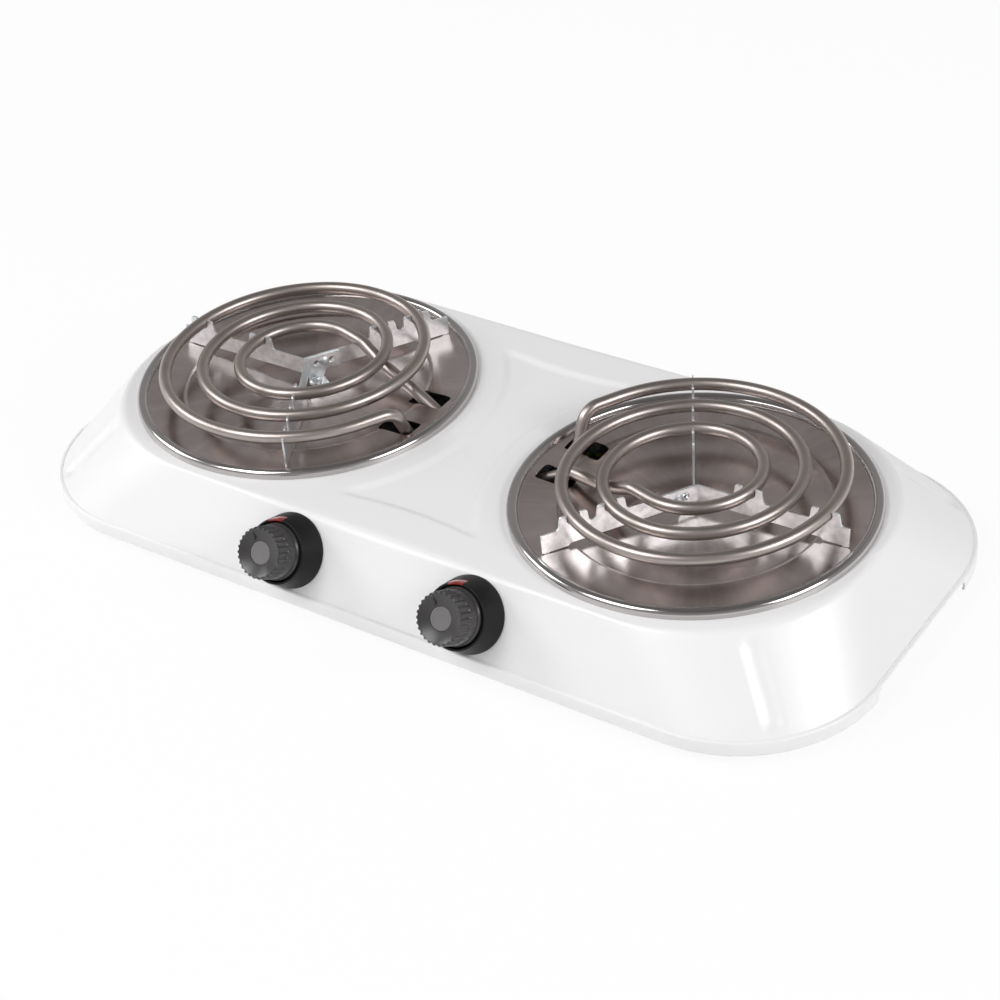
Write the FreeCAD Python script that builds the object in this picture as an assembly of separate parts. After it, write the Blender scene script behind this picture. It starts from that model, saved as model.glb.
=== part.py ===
import FreeCAD, Part
import math
import os

os.makedirs("parts", exist_ok=True)

# Table-top hot plate with two coil burners.  Millimetres, +Z up, the table is z = 0.
# The origin is on the table midway between the burners; the knobs face -Y.

# Housing, pressed from one steel sheet.  Its outline follows the two pans.
pan_spread = 54.0
sheet = 1.0
deck_height = 47.5
deck_margin = 4.5
deck_end_flat = 9.0
deck_edge = 7.0
end_flare = 25.8
side_flare = 22.5
hem_end_flat = 46.2
hem_bottom = 5.0
hem_height = 8.0
hem_step = 2.0

# Pressed shapes in the housing
panel_depth = 1.5
panel_margin = 14.5
panel_inset = 25.0
panel_bow = 6.0
panel_corner = 3.0
groove_angle = 47.0
groove_start = 6.0
groove_end = 33.0
groove_width = 10.0
groove_depth = 2.0
notch_half_width = 47.0
notch_height = 7.2
notch_corner = 6.0

# Base plate, its finger pockets, screws and feet
base_sheet = 0.8
base_rise = 2.2
base_gap = 0.5
pocket_depth = 29.0
pocket_margin = 5.0
pocket_height = 12.8
tab_reach = 15.0
tab_width = 16.0
tab_shift = 20.5
vent_length = 44.0
vent_width = 5.0
vent_pitch = 14.0
vent_count = 5
screw_radius = 1.5
screw_head = 3.2
screw_head_height = 1.8
screw_length = 9.0
foot_inset_x = 31.5
foot_inset_y = 19.0
foot_radius = 10.0
foot_tip = 8.5
foot_recess = 4.6
foot_recess_depth = 4.0
foot_bolt = 1.9
foot_bolt_head = 3.6
foot_bolt_head_height = 2.2
nut_flats = 7.0
nut_height = 3.0
nut_stand = 1.4

# Drip pan, spun from thin steel
pan_radius = 92.5
pan_sheet = 0.8
rim_width = 7.0
rim_base = 1.6
band_inset = 24.5
band_height = 0.8
step_width = 2.0
step_drop = 0.8
floor_drop = 2.0
floor_flat = 14.0
opening_gap = 1.5
leg_slot_inset = 7.5
slot_clear = 0.5

# Heating coil, one tube wound inwards
tube_radius = 3.3
coil_height = 17.0
coil_margin = 5.0
coil_step = 10.0
coil_half_turns = 5
coil_start_angle = -60.0
outer_leg_angle = 31.0
inner_leg_angle = 45.0
leg_height = -8.0
leg_spread = 11.6
leg_bend = 11.0
bend_share = 0.42
leg_lean = 12.0
inner_crest = 12.9
inner_cross = 3.0
inner_drop = 7.8
inner_entry = 5.0
inner_shift = 0.8

# Coil support, three zinc strips standing on edge
strip = 1.0
strip_low = 3.0
tip_gap = 1.5
seat_gap = 0.3
ear_width = 4.4
ear_gap = 0.5
ear_rise = 2.6
ear_round = 1.5
strip_drop = 1.0
shoe_length = 14.0
left_arm = 180.0
rear_arm = 60.0
front_arm = -60.0
apex_angle = 150.0
apex_offset = 3.5
flange_start = 1.5
flange_length = 19.0
flange_margin = 0.5
foot_plate = 8.5
centre_screw_along = 3.5
centre_screw_across = 5.3
centre_screw_radius = 2.0
centre_screw_head = 3.4
centre_screw_head_height = 2.2
rivet_radius = 1.6
rivet_head = 2.6
rivet_head_height = 0.9
tip_tab_start = 4.0
tip_tab_end = 1.0
tip_tab_height = 2.6
slit_gap = 0.35

# Under-deck pieces of a burner
clamp_width = 14.0
clamp_sheet = 1.5
clamp_drop = 9.0
clamp_grip = 5.0
bracket_gap = 4.0
bracket_sheet = 1.2
bracket_half_width = 22.0
bracket_drop = 15.0
bracket_flange = 9.0
leg_tail = 11.0
pin_radius = 1.2
pin_length = 9.0
bead_radius = 4.2
bead_length = 5.0

# Control: bezel, lamp, regulator, knob.  Heights are above the sloping front panel.
knob_x = 54.0
knob_offset = 4.0
knob_shift = 0.7
bezel_flare = 2.8
bezel_edge = 1.0
bezel_height = 14.0
collar_wall = 1.2
bezel_floor = 3.0
knob_radius = 14.4
knob_clear = 0.8
knob_lift = 2.5
knob_skirt_stand = 0.5
knob_grip = 13.6
knob_taper = 1.4
knob_wall = 1.8
hub_radius = 5.5
hub_length = 4.0
hub_lift = 1.5
top_web = 4.0
dish_depth = 1.8
cap_radius = 5.9
cap_sheet = 1.4
flute_count = 28
flute_radius = 1.5
flute_depth = 0.6
flute_length = 7.0
pointer_angle = 128.0
pointer_gap = 1.5
pointer_width = 1.8
spindle_radius = 3.0
spindle_flat = 2.2
spindle_inner = -8.0
bush_radius = 5.0
bush_stand = 0.7
panel_nut = 8.0
panel_nut_height = 2.8
window_start = 83.0
window_sweep = 37.0
window_height = 5.0
lamp_radius = 2.0
lamp_gap = 0.5
lamp_inner = -10.0
lamp_clear = 0.9
plate_sheet = 1.2
case_half_width = 12.0
case_gap = 0.9
case_low = 13.0
case_depth = 14.0
blade_spread = 6.5
blade_width = 4.0
blade_sheet = 0.8
blade_length = 7.0
blade_drop = 3.0

# Supply side
gland_x = 30.0
gland_shift = 6.9
gland_radius = 7.0
gland_flange = 9.5
gland_flange_sheet = 2.5
gland_nose = 6.5
gland_nose_length = 2.0
gland_tail = 11.0
gland_bore = 3.7
gland_nut_height = 4.0
block_inset = 25.0
block_half_length = 22.0
block_width = 20.0
block_height = 16.0
block_hole = 1.7
block_screw = 2.4
block_screw_height = 1.5
block_screw_slot = 1.0
entry_pitch = 10.0
entry_count = 4
entry_height = 6.0
stud_shift = 22.0
stud_back = 16.0
stud_radius = 2.0
stud_height = 10.0
eyelet_radius = 4.4
eyelet_sheet = 1.0
wire_radius = 1.1
wire_bend_share = 0.45
pin_middle = 2.5
pin_run_back = 20.0
pin_run_drop = 16.0
blade_run = 11.0
entry_run = 15.0
load_turn = 20.0
load_back = 45.0
load_lift = 10.0
load_end_back = 31.0
load_end_lift = 8.0
link_back = 27.0
link_lift = 3.5
link_bow = 3.0
link_sag = 0.5
live_turn = 4.0
live_back = 51.0
live_lift = 2.6
live_shift = 18.0
live_cross = 4.0
live_cross_lift = 3.0

# Fits
free_fit = 0.1
run_fit = 0.05
snug_fit = 0.02
hole_gap = 0.2

# Values worked out from the ones above
vec = FreeCAD.Vector
burner_x = pan_radius + pan_spread / 2
deck_half_width = pan_radius + deck_margin
deck_half_length = burner_x + pan_radius + deck_margin
deck_corner = deck_half_width - deck_end_flat
hem_half_length = deck_half_length + end_flare
hem_half_width = deck_half_width + side_flare
hem_corner = hem_half_width - hem_end_flat
hem_top = hem_bottom + hem_height
panel_half_width = deck_half_width - panel_inset
pocket_half_width = notch_half_width + pocket_margin
tab_spread = burner_x + tab_shift
foot_x = deck_half_length - foot_inset_x
foot_y = deck_half_width - foot_inset_y
band_radius = pan_radius - band_inset
leg_slot_start = band_radius - leg_slot_inset
block_y = deck_half_width - block_inset
stud_x = block_half_length + stud_shift
stud_y = block_y - stud_back
skirt_half_length = hem_half_length - hem_step
skirt_half_width = hem_half_width - hem_step
skirt_corner = hem_corner - hem_step
skirt_drop = deck_height - hem_top
panel_tilt = math.degrees(math.atan2(skirt_drop, skirt_half_width - deck_half_width))
skirt_inset = sheet / math.sin(math.radians(panel_tilt))
wall_length = math.hypot(skirt_drop, skirt_half_width - deck_half_width)
knob_drop = wall_length / 2 + knob_shift
gland_drop = wall_length / 2 + gland_shift
base_low = hem_bottom + base_rise
base_top = base_low + base_sheet
hem_inner_length = hem_half_length - sheet
hem_inner_width = hem_half_width - sheet
pocket_wall = hem_half_length - pocket_depth
rim_radius = rim_width / 2
rim_centre = pan_radius - rim_radius
seat_height = coil_height - tube_radius - seat_gap
strip_top = seat_height - strip_drop
ear_top = coil_height + ear_rise
shoe_low = rim_base + free_fit
opening_radius = pan_radius - rim_width + opening_gap
strip_reach = pan_radius - rim_width - tip_gap
coil_outer = strip_reach - coil_margin
inner_radius = coil_outer - coil_half_turns * coil_step
inner_chord = math.sqrt((inner_radius + 1.5 * coil_step)**2 - inner_radius**2)
inner_run = inner_chord - inner_crest - inner_cross
leg_slot_inner = leg_spread - tube_radius - slot_clear
leg_fall = coil_height - leg_height
leg_slope = math.atan2(leg_fall, leg_lean)
leg_crossing = leg_spread + (rim_base - leg_height) / math.tan(leg_slope)
leg_slot_outer = leg_crossing + tube_radius / math.sin(leg_slope) + slot_clear
bracket_x = opening_radius + bracket_gap
leg_end = bracket_x + leg_tail
pin_run = burner_x - leg_end - pin_length - pin_middle
knob_well = knob_radius + knob_clear
collar_radius = knob_well + collar_wall
bezel_radius = collar_radius + bezel_flare
knob_front_radius = knob_radius - knob_taper
knob_bottom = bezel_floor + knob_lift
knob_skirt_top = bezel_height + knob_skirt_stand
knob_face = knob_skirt_top + knob_grip
bush_top = bezel_floor + panel_nut_height + bush_stand
hub_bottom = bush_top + hub_lift
knob_top_wall = hub_bottom + hub_length
bore_top = knob_face - dish_depth - cap_sheet - top_web
pointer_start = cap_radius + pointer_gap
lamp_place = panel_nut + lamp_radius + lamp_gap
lamp_top = knob_bottom - lamp_clear
case_top = lamp_place - lamp_radius - case_gap
far = 4 * hem_half_length
tiny = 1e-4


def polar(angle, radius, z=0.0):
    turn = math.radians(angle)
    return vec(radius * math.cos(turn), radius * math.sin(turn), z)


def line(start, end):
    return Part.LineSegment(start, end).toShape()


def arc(start, middle, end):
    return Part.Arc(start, middle, end).toShape()


def box(low, high):
    size = high - low
    return Part.makeBox(size.x, size.y, size.z, low)


def rod(radius, low, high, x=0.0, y=0.0):
    return Part.makeCylinder(radius, high - low, vec(x, y, low))


def ring(outer, inner, low, high, x=0.0, y=0.0):
    return rod(outer, low, high, x, y).cut(rod(inner, low - 1, high + 1, x, y))


def hexagon(flats, low, high, x=0.0, y=0.0):
    corners = [vec(x, y, low) + polar(60 * i + 30, flats / math.sqrt(3)) for i in range(7)]
    return Part.Face(Part.makePolygon(corners)).extrude(vec(0, 0, high - low))


def turned(points):
    # Solid of revolution about Z from (radius, height) pairs.
    outline = [vec(r, 0, z) for r, z in points]
    return Part.Face(Part.makePolygon(outline + outline[:1])).revolve(vec(), vec(0, 0, 1), 360)


def group(solids):
    return Part.makeCompound(solids)


def rounded_outline(half_length, half_width, corner, z):
    a = half_length - corner
    b = half_width - corner
    c = corner * math.sqrt(0.5)
    edges = [
        line(vec(-a, -half_width, z), vec(a, -half_width, z)),
        arc(vec(a, -half_width, z), vec(a + c, -b - c, z), vec(half_length, -b, z)),
        line(vec(half_length, -b, z), vec(half_length, b, z)),
        arc(vec(half_length, b, z), vec(a + c, b + c, z), vec(a, half_width, z)),
        line(vec(a, half_width, z), vec(-a, half_width, z)),
        arc(vec(-a, half_width, z), vec(-a - c, b + c, z), vec(-half_length, b, z)),
        line(vec(-half_length, b, z), vec(-half_length, -b, z)),
        arc(vec(-half_length, -b, z), vec(-a - c, -b - c, z), vec(-a, -half_width, z)),
    ]
    return Part.Wire(edges)


def skirt_sizes(z, inset):
    # Half length, half width and corner of the sloping skirt at a height.
    share = (deck_height - z) / skirt_drop
    return (
        deck_half_length + share * (skirt_half_length - deck_half_length) - inset,
        deck_half_width + share * (skirt_half_width - deck_half_width) - inset,
        deck_corner + share * (skirt_corner - deck_corner) - inset,
    )


def end_wall(z, y):
    # Distance from the middle to the inside of an end wall, at a height and a place along it.
    half_length, half_width, corner = skirt_sizes(z, skirt_inset)
    beyond = max(0.0, y - half_width + corner)
    return half_length - corner + math.sqrt(corner**2 - beyond**2)


def skirt_block(inset, top, bottom, edge):
    upper = rounded_outline(*skirt_sizes(top, inset), top)
    lower = rounded_outline(*skirt_sizes(bottom, inset), bottom)
    block = Part.makeLoft([upper, lower], True, True)
    brim = [e for e in block.Edges if all(abs(v.Z - top) < tiny for v in e.Vertexes)]
    return block.makeFillet(edge, brim)


def slab(half_length, half_width, corner, low, high):
    return Part.Face(rounded_outline(half_length, half_width, corner, low)).extrude(vec(0, 0, high - low))


def panel_prism(margin, depth_from, depth_to, grow):
    # Waisted panel between the burners: hollow sides round the pans, bowed front and back.
    side = pan_radius + margin
    width = panel_half_width + grow
    tip = burner_x - math.sqrt(side**2 - width**2)
    waist = burner_x - side
    bow = width - panel_bow
    low = deck_height - depth_to
    edges = [
        arc(vec(-tip, -width, low), vec(0, -bow, low), vec(tip, -width, low)),
        arc(vec(tip, -width, low), vec(waist, 0, low), vec(tip, width, low)),
        arc(vec(tip, width, low), vec(0, bow, low), vec(-tip, width, low)),
        arc(vec(-tip, width, low), vec(-waist, 0, low), vec(-tip, -width, low)),
    ]
    prism = Part.Face(Part.Wire(edges)).extrude(vec(0, 0, depth_to - depth_from))
    corners = [e for e in prism.Edges if abs(e.tangentAt(e.FirstParameter).z) > 0.99]
    return prism.makeFillet(panel_corner + grow, corners)


def capsule(start, end, radius):
    run = end - start
    length = run.Length
    slant = radius * math.sqrt(0.5)
    edges = [
        line(vec(0, 0, -radius), vec(0, 0, length + radius)),
        arc(vec(0, 0, length + radius), vec(slant, 0, length + slant), vec(radius, 0, length)),
        line(vec(radius, 0, length), vec(radius, 0, 0)),
        arc(vec(radius, 0, 0), vec(slant, 0, -slant), vec(0, 0, -radius)),
    ]
    shape = Part.Face(Part.Wire(edges)).revolve(vec(), vec(0, 0, 1), 360)
    shape.Placement = FreeCAD.Placement(start, FreeCAD.Rotation(vec(0, 0, 1), run))
    return shape


def groove_axis(side_x, side_y):
    # Axis of the round tool that presses one corner groove, and the radius of the tool.
    radius = ((groove_width / 2) ** 2 + groove_depth**2) / (2 * groove_depth)
    turn = math.radians(groove_angle)
    ends = []
    for drop in (groove_start, groove_end):
        z = deck_height - drop
        half_length, half_width, corner = skirt_sizes(z, 0.0)
        x = half_length - corner + corner * math.cos(turn)
        y = half_width - corner + corner * math.sin(turn)
        ends.append(vec(side_x * x, side_y * y, z))
    slope = (ends[1] - ends[0]).normalize()
    around = vec(-side_x * math.sin(turn), side_y * math.cos(turn), 0)
    out = slope.cross(around).normalize()
    if out.z < 0:
        out = -out
    lift = out * (radius - groove_depth)
    inner = slope * (groove_width / 2)
    return ends[0] + inner + lift, ends[1] - inner + lift, radius


def tab_places():
    rows = [(x, s) for s in (-1, 1) for x in (-tab_spread, 0.0, tab_spread)]
    return [(x, s * (hem_inner_width - tab_reach / 2)) for x, s in rows]


def feet_places():
    return [(sx * foot_x, sy * foot_y) for sx in (-1, 1) for sy in (-1, 1)]


# Places on the sloping front and rear walls

def on_wall(shape, x, drop, side):
    # Moves a shape made about Z so that it stands on the front (-1) or rear (1) wall.
    tilt = math.radians(panel_tilt)
    place = vec(x, side * (deck_half_width + drop * math.cos(tilt)), deck_height - drop * math.sin(tilt))
    moved = shape.copy()
    moved.Placement = FreeCAD.Placement(place, FreeCAD.Rotation(vec(1, 0, 0), -side * panel_tilt))
    return moved


def control_x(side):
    return knob_offset + side * knob_x


def control_point(side, x, y, z):
    return on_wall(Part.Vertex(x, y, z), control_x(side), knob_drop, -1).Point


def bezel_place(side, shape):
    return on_wall(shape, control_x(side), knob_drop, -1)


def lamp_centre():
    return polar(window_start + window_sweep / 2, lamp_place)


# Housing and base

def top_housing():
    outer = skirt_block(0.0, deck_height, hem_top - sheet, deck_edge)
    outer = outer.fuse(slab(hem_half_length, hem_half_width, hem_corner, hem_bottom, hem_top))
    hollow = skirt_block(skirt_inset, deck_height - sheet, hem_top - 2 * sheet, deck_edge - sheet)
    hem_hollow = slab(hem_inner_length, hem_inner_width, hem_corner - sheet, hem_bottom - 1, hem_top - sheet)
    shell = outer.cut(hollow.fuse(hem_hollow))
    shell = shell.fuse(panel_prism(panel_margin - sheet, sheet / 2, panel_depth + sheet, sheet))
    shell = shell.cut(panel_prism(panel_margin, -1.0, panel_depth, 0.0))
    for side_x in (-1, 1):
        for side_y in (-1, 1):
            start, end, radius = groove_axis(side_x, side_y)
            shell = shell.fuse(capsule(start, end, radius + sheet).common(outer))
            shell = shell.cut(capsule(start, end, radius))
    for x, y in tab_places():
        edge = math.copysign(hem_inner_width + sheet / 2, y)
        root = math.copysign(hem_inner_width - tab_reach, y)
        low = vec(x - tab_width / 2, min(edge, root), base_top)
        shell = shell.fuse(box(low, vec(x + tab_width / 2, max(edge, root), base_top + sheet)))
        shell = shell.cut(rod(screw_radius + free_fit, base_top - 1, base_top + sheet + 1, x, y))
    for side in (-1, 1):
        shell = shell.cut(rod(opening_radius, deck_height - 4 * sheet, deck_height + 1, side * burner_x))
        shell = shell.cut(bezel_place(side, rod(bush_radius + hole_gap, -2 * sheet, 2 * sheet)))
        lamp = lamp_centre()
        lamp_hole = rod(lamp_radius + hole_gap, -2 * sheet, 2 * sheet, lamp.x, lamp.y)
        shell = shell.cut(bezel_place(side, lamp_hole))
        shell = shell.cut(finger_notch(side))
    gland_hole = rod(gland_radius + hole_gap, -2 * sheet, 2 * sheet)
    return shell.cut(on_wall(gland_hole, gland_x, gland_drop, 1)).removeSplitter()


def finger_notch(side):
    top = hem_bottom + notch_height
    inner = hem_half_length - 4 * hem_step
    low = vec(inner, -notch_half_width, hem_bottom - 1)
    cutter = box(low, vec(hem_half_length + 1, notch_half_width, top))
    upper = [e for e in cutter.Edges if all(abs(v.Z - top) < tiny for v in e.Vertexes)]
    upper = [e for e in upper if abs(e.tangentAt(e.FirstParameter).x) > 0.99]
    cutter = cutter.makeFillet(notch_corner, upper)
    if side < 0:
        cutter.rotate(vec(), vec(0, 0, 1), 180)
    return cutter


def finger_pocket(side):
    # Pressed-up pocket behind an end notch: a roof, a back wall and two side walls.
    roof = base_low + pocket_height
    reach = end_wall(roof + base_sheet, pocket_half_width + base_sheet) - base_gap
    outside = box(
        vec(pocket_wall - base_sheet, -pocket_half_width - base_sheet, base_low),
        vec(reach, pocket_half_width + base_sheet, roof + base_sheet),
    )
    inside = box(
        vec(pocket_wall, -pocket_half_width, base_low - 1),
        vec(far, pocket_half_width, roof),
    )
    if side < 0:
        outside.rotate(vec(), vec(0, 0, 1), 180)
        inside.rotate(vec(), vec(0, 0, 1), 180)
    return outside, inside


def base_plate():
    plate = slab(
        hem_inner_length - base_gap,
        hem_inner_width - base_gap,
        hem_corner - sheet - base_gap,
        base_low,
        base_top,
    )
    for side in (-1, 1):
        outside, inside = finger_pocket(side)
        plate = plate.fuse(outside)
        plate = plate.cut(inside)
    holes = [rod(screw_radius + free_fit, base_low - 1, base_top + 1, x, y) for x, y in tab_places()]
    holes += [rod(foot_bolt + free_fit, base_low - 1, base_top + 1, x, y) for x, y in feet_places()]
    holes.append(rod(stud_radius + free_fit, base_low - 1, base_top + 1, stud_x, stud_y))
    for side in (-1, 1):
        for i in range(vent_count):
            x = side * burner_x + (i - (vent_count - 1) / 2) * vent_pitch
            holes.append(vent_slot(x))
    return plate.cut(group(holes)).removeSplitter()


def vent_slot(x):
    half = (vent_length - vent_width) / 2
    middle = box(vec(x - vent_width / 2, -half, base_low - 1), vec(x + vent_width / 2, half, base_top + 1))
    ends = [rod(vent_width / 2, base_low - 1, base_top + 1, x, s * half) for s in (-1, 1)]
    return middle.multiFuse(ends).removeSplitter()


def base_screws():
    low = base_low - screw_head_height
    return group([
        rod(screw_head, low, base_low, x, y).fuse(rod(screw_radius, low, low + screw_length, x, y))
        for x, y in tab_places()
    ])


def rubber_feet():
    feet = []
    for x, y in feet_places():
        foot = Part.makeCone(foot_tip, foot_radius, base_low, vec(x, y, 0))
        foot = foot.cut(rod(foot_recess, -1, foot_recess_depth, x, y))
        feet.append(foot.cut(rod(foot_bolt + free_fit, -1, base_low + 1, x, y)))
    return group(feet)


def foot_bolts():
    top = base_top + nut_height + nut_stand
    low = foot_recess_depth - foot_bolt_head_height
    return group([
        rod(foot_bolt_head, low, foot_recess_depth, x, y).fuse(rod(foot_bolt, low, top, x, y))
        for x, y in feet_places()
    ])


def foot_nuts():
    return group([
        hexagon(nut_flats, base_top, base_top + nut_height, x, y).cut(
            rod(foot_bolt + run_fit, base_top - 1, base_top + nut_height + 1, x, y)
        )
        for x, y in feet_places()
    ])


# Burner pieces, made about the burner's own centre with the deck top at z = 0

def burner_place(side, shape):
    moved = shape.copy()
    if side > 0:
        moved.rotate(vec(), vec(0, 0, 1), 180)
    moved.translate(vec(side * burner_x, 0, deck_height))
    return moved


def apex_point():
    return polar(apex_angle, apex_offset)


def rear_arm_frame():
    # Unit vectors along the long strip's rear arm and across it, to its clockwise side.
    along = (arm_tip(rear_arm) - apex_point()).normalize()
    return along, vec(along.y, -along.x, 0)


def centre_screw_point():
    along, across = rear_arm_frame()
    return apex_point() + along * centre_screw_along + across * centre_screw_across


def arm_tip(angle):
    return polar(angle, strip_reach)


def arm_root(angle):
    if angle != front_arm:
        return apex_point()
    along, across = rear_arm_frame()
    return apex_point() + along * flange_start + across * strip


def upright(start, end, low, high, thick):
    # Flat strip standing on edge from one point to another.
    run = vec(end.x - start.x, end.y - start.y, 0)
    shape = Part.makeBox(run.Length, thick, high - low, vec(0, -thick / 2, 0))
    turn = math.degrees(math.atan2(run.y, run.x))
    shape.Placement = FreeCAD.Placement(vec(start.x, start.y, low), FreeCAD.Rotation(vec(0, 0, 1), turn))
    return shape


def drip_pan():
    crest = rim_base + rim_radius
    inner = rim_radius - pan_sheet
    low_edge = rim_base - pan_sheet
    band_low = band_height - step_drop
    step_in = band_radius - step_width
    lip = rim_centre - rim_radius
    top_arc = arc(vec(lip, 0, rim_base), vec(rim_centre, 0, crest), vec(pan_radius, 0, rim_base))
    low_arc = arc(
        vec(rim_centre + inner, 0, rim_base),
        vec(rim_centre, 0, rim_base + inner),
        vec(rim_centre - inner, 0, rim_base),
    )
    top = [
        vec(0, 0, -floor_drop),
        vec(floor_flat, 0, -floor_drop),
        vec(step_in, 0, band_low),
        vec(band_radius, 0, band_height),
        vec(lip, 0, rim_base),
    ]
    bottom = [
        vec(rim_centre - inner, 0, rim_base),
        vec(rim_centre - inner, 0, low_edge),
        vec(band_radius + pan_sheet / 2, 0, band_height - pan_sheet),
        vec(step_in + pan_sheet / 2, 0, band_low - pan_sheet),
        vec(floor_flat, 0, -floor_drop - pan_sheet),
        vec(0, 0, -floor_drop - pan_sheet),
    ]
    edges = [line(a, b) for a, b in zip(top, top[1:])]
    edges.append(top_arc)
    edges.append(line(vec(pan_radius, 0, rim_base), vec(pan_radius, 0, 0)))
    edges.append(line(vec(pan_radius, 0, 0), vec(pan_radius - pan_sheet, 0, 0)))
    edges.append(line(vec(pan_radius - pan_sheet, 0, 0), vec(pan_radius - pan_sheet, 0, rim_base)))
    edges.append(low_arc)
    edges += [line(a, b) for a, b in zip(bottom, bottom[1:])]
    edges.append(line(bottom[-1], top[0]))
    pan = Part.Face(Part.Wire(edges)).revolve(vec(), vec(0, 0, 1), 360)
    hole = centre_screw_point()
    pan = pan.cut(rod(centre_screw_radius + hole_gap, -far, far, hole.x, hole.y))
    for side in (-1, 1):
        near = min(side * leg_slot_inner, side * leg_slot_outer)
        away = max(side * leg_slot_inner, side * leg_slot_outer)
        pan = pan.cut(box(vec(leg_slot_start, near, -far), vec(slot_end(), away, far)))
    for angle in (left_arm, rear_arm, front_arm):
        tab_in, tab_out = tip_tab(angle)
        along = (tab_out - tab_in).normalize()
        slit_in = tab_in - along * slit_gap
        slit_out = tab_out + along * slit_gap
        pan = pan.cut(upright(slit_in, slit_out, -far, far, strip + 2 * slit_gap))
    return pan


def tip_tab(angle):
    tip = arm_tip(angle)
    along = (tip - arm_root(angle)).normalize()
    return tip - along * tip_tab_start, tip - along * tip_tab_end


# Path of the coil: half turns about two centres, then the two legs

def coil_arcs():
    # Each arc is (centre, radius, start angle, end angle), clockwise seen from above.
    arcs = []
    away = polar(coil_start_angle, coil_step / 2)
    radius = coil_outer - coil_step / 2
    start = coil_start_angle
    arcs.append((away, radius, start + outer_leg_angle, start))
    for i in range(coil_half_turns):
        centre = away if i % 2 == 0 else -away
        arcs.append((centre, radius - i * coil_step, start - 180 * i, start - 180 * (i + 1)))
    last = start - 180 * coil_half_turns
    arcs.append((vec(), inner_radius, last, last - inner_leg_angle))
    return arcs


def arc_point(item, angle):
    return item[0] + polar(angle, item[1], coil_height)


def rounded_path(points, bend):
    # Straight runs joined by tangent arcs, at each inner point.
    edges = []
    start = points[0]
    for before, corner, after in zip(points, points[1:], points[2:]):
        into = (corner - before).normalize()
        out = (after - corner).normalize()
        turn = into.getAngle(out)
        shorter = min((corner - before).Length, (after - corner).Length)
        radius = bend(shorter, turn)
        cut = radius * math.tan(turn / 2)
        first = corner - into * cut
        last = corner + out * cut
        inward = (out - into).normalize()
        middle = corner + inward * (radius / math.cos(turn / 2) - radius)
        edges.append(line(start, first))
        edges.append(arc(first, middle, last))
        start = last
    edges.append(line(start, points[-1]))
    return edges


def coil_bend(shorter, turn):
    return min(leg_bend, bend_share * shorter / math.tan(turn / 2))


def outer_leg(first):
    back = polar(first[2] + 90, 1.0)
    start = arc_point(first, first[2])
    knee = start - back * ((leg_spread + leg_lean + start.y) / back.y)
    drop = vec(knee.x, -leg_spread, leg_height)
    end = vec(leg_end, -leg_spread, leg_height)
    return [end, drop, knee, start]


def slot_end():
    return outer_leg(coil_arcs()[0])[1].x + tube_radius + 2 * slot_clear


def inner_leg(last):
    heading = polar(last[3] - 90, 1.0)
    start = arc_point(last, last[3])
    crest = start + heading * inner_crest
    under = crest + heading * inner_run - vec(0, 0, inner_drop)
    slot = vec(leg_slot_start + tube_radius / 2, leg_spread + inner_shift, inner_entry)
    below = vec(slot_end() + tube_radius, leg_spread, leg_height)
    end = vec(leg_end, leg_spread, leg_height)
    return [start, crest, under, slot, below, end]


def coil_path():
    arcs = coil_arcs()
    edges = rounded_path(outer_leg(arcs[0]), coil_bend)
    for item in arcs:
        middle = (item[2] + item[3]) / 2
        edges.append(arc(arc_point(item, item[2]), arc_point(item, middle), arc_point(item, item[3])))
    edges += rounded_path(inner_leg(arcs[-1]), coil_bend)
    return edges


def path_points(edges, spacing):
    points = []
    for edge in edges:
        count = max(2, math.ceil(edge.Length / spacing))
        points += edge.discretize(Number=count + 1)[:-1]
    return points


def coil_gap(edges):
    # Least gap between stretches of the tube that are not neighbours along it.
    spacing = tube_radius / 2
    points = path_points(edges, spacing)
    apart = math.ceil(4 * math.pi * tube_radius / spacing)
    least = far
    for i, p in enumerate(points):
        for q in points[i + apart:]:
            least = min(least, p.distanceToPoint(q))
    return least - 2 * tube_radius


def heating_coil(edges):
    path = Part.Wire(edges)
    start = edges[0].valueAt(edges[0].FirstParameter)
    heading = edges[0].tangentAt(edges[0].FirstParameter)
    section = Part.Wire([Part.makeCircle(tube_radius, start, heading)])
    return path.makePipeShell([section], True, False)


# Coil support

def seat_places(edges, angle):
    # Distances along a strip at which the coil lies across it.
    root = arm_root(angle)
    along = (arm_tip(angle) - root).normalize()
    across = vec(along.y, -along.x, 0)
    places = []
    points = [p for p in path_points(edges, tube_radius / 2) if p.z > coil_height - tiny]
    for p, q in zip(points, points[1:]):
        a = (p - root).dot(across)
        b = (q - root).dot(across)
        if a * b > 0 or p.distanceToPoint(q) > tube_radius:
            continue
        hit = p + (q - p) * (a / (a - b))
        reach = (hit - root).dot(along)
        if reach > coil_step:
            places.append(reach)
    return sorted(places)


def held_seats(edges, angle):
    # The left arm has ears at the outermost and innermost turns, the rear arm at the outer two.
    seats = seat_places(edges, angle)
    if angle == left_arm:
        return [seats[0], seats[-1]]
    return seats[-2:] if angle == rear_arm else seats


def ear(start, end):
    # Tongue beside the tube, with a rounded top.
    shape = upright(start, end, strip_low, ear_top, strip)
    along = (end - start).normalize()
    brims = []
    for edge in shape.Edges:
        level = all(abs(v.Z - ear_top) < tiny for v in edge.Vertexes)
        if level and abs(edge.tangentAt(edge.FirstParameter).dot(along)) < tiny:
            brims.append(edge)
    return shape.makeFillet(ear_round * (end - start).Length / ear_width, brims)


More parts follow.
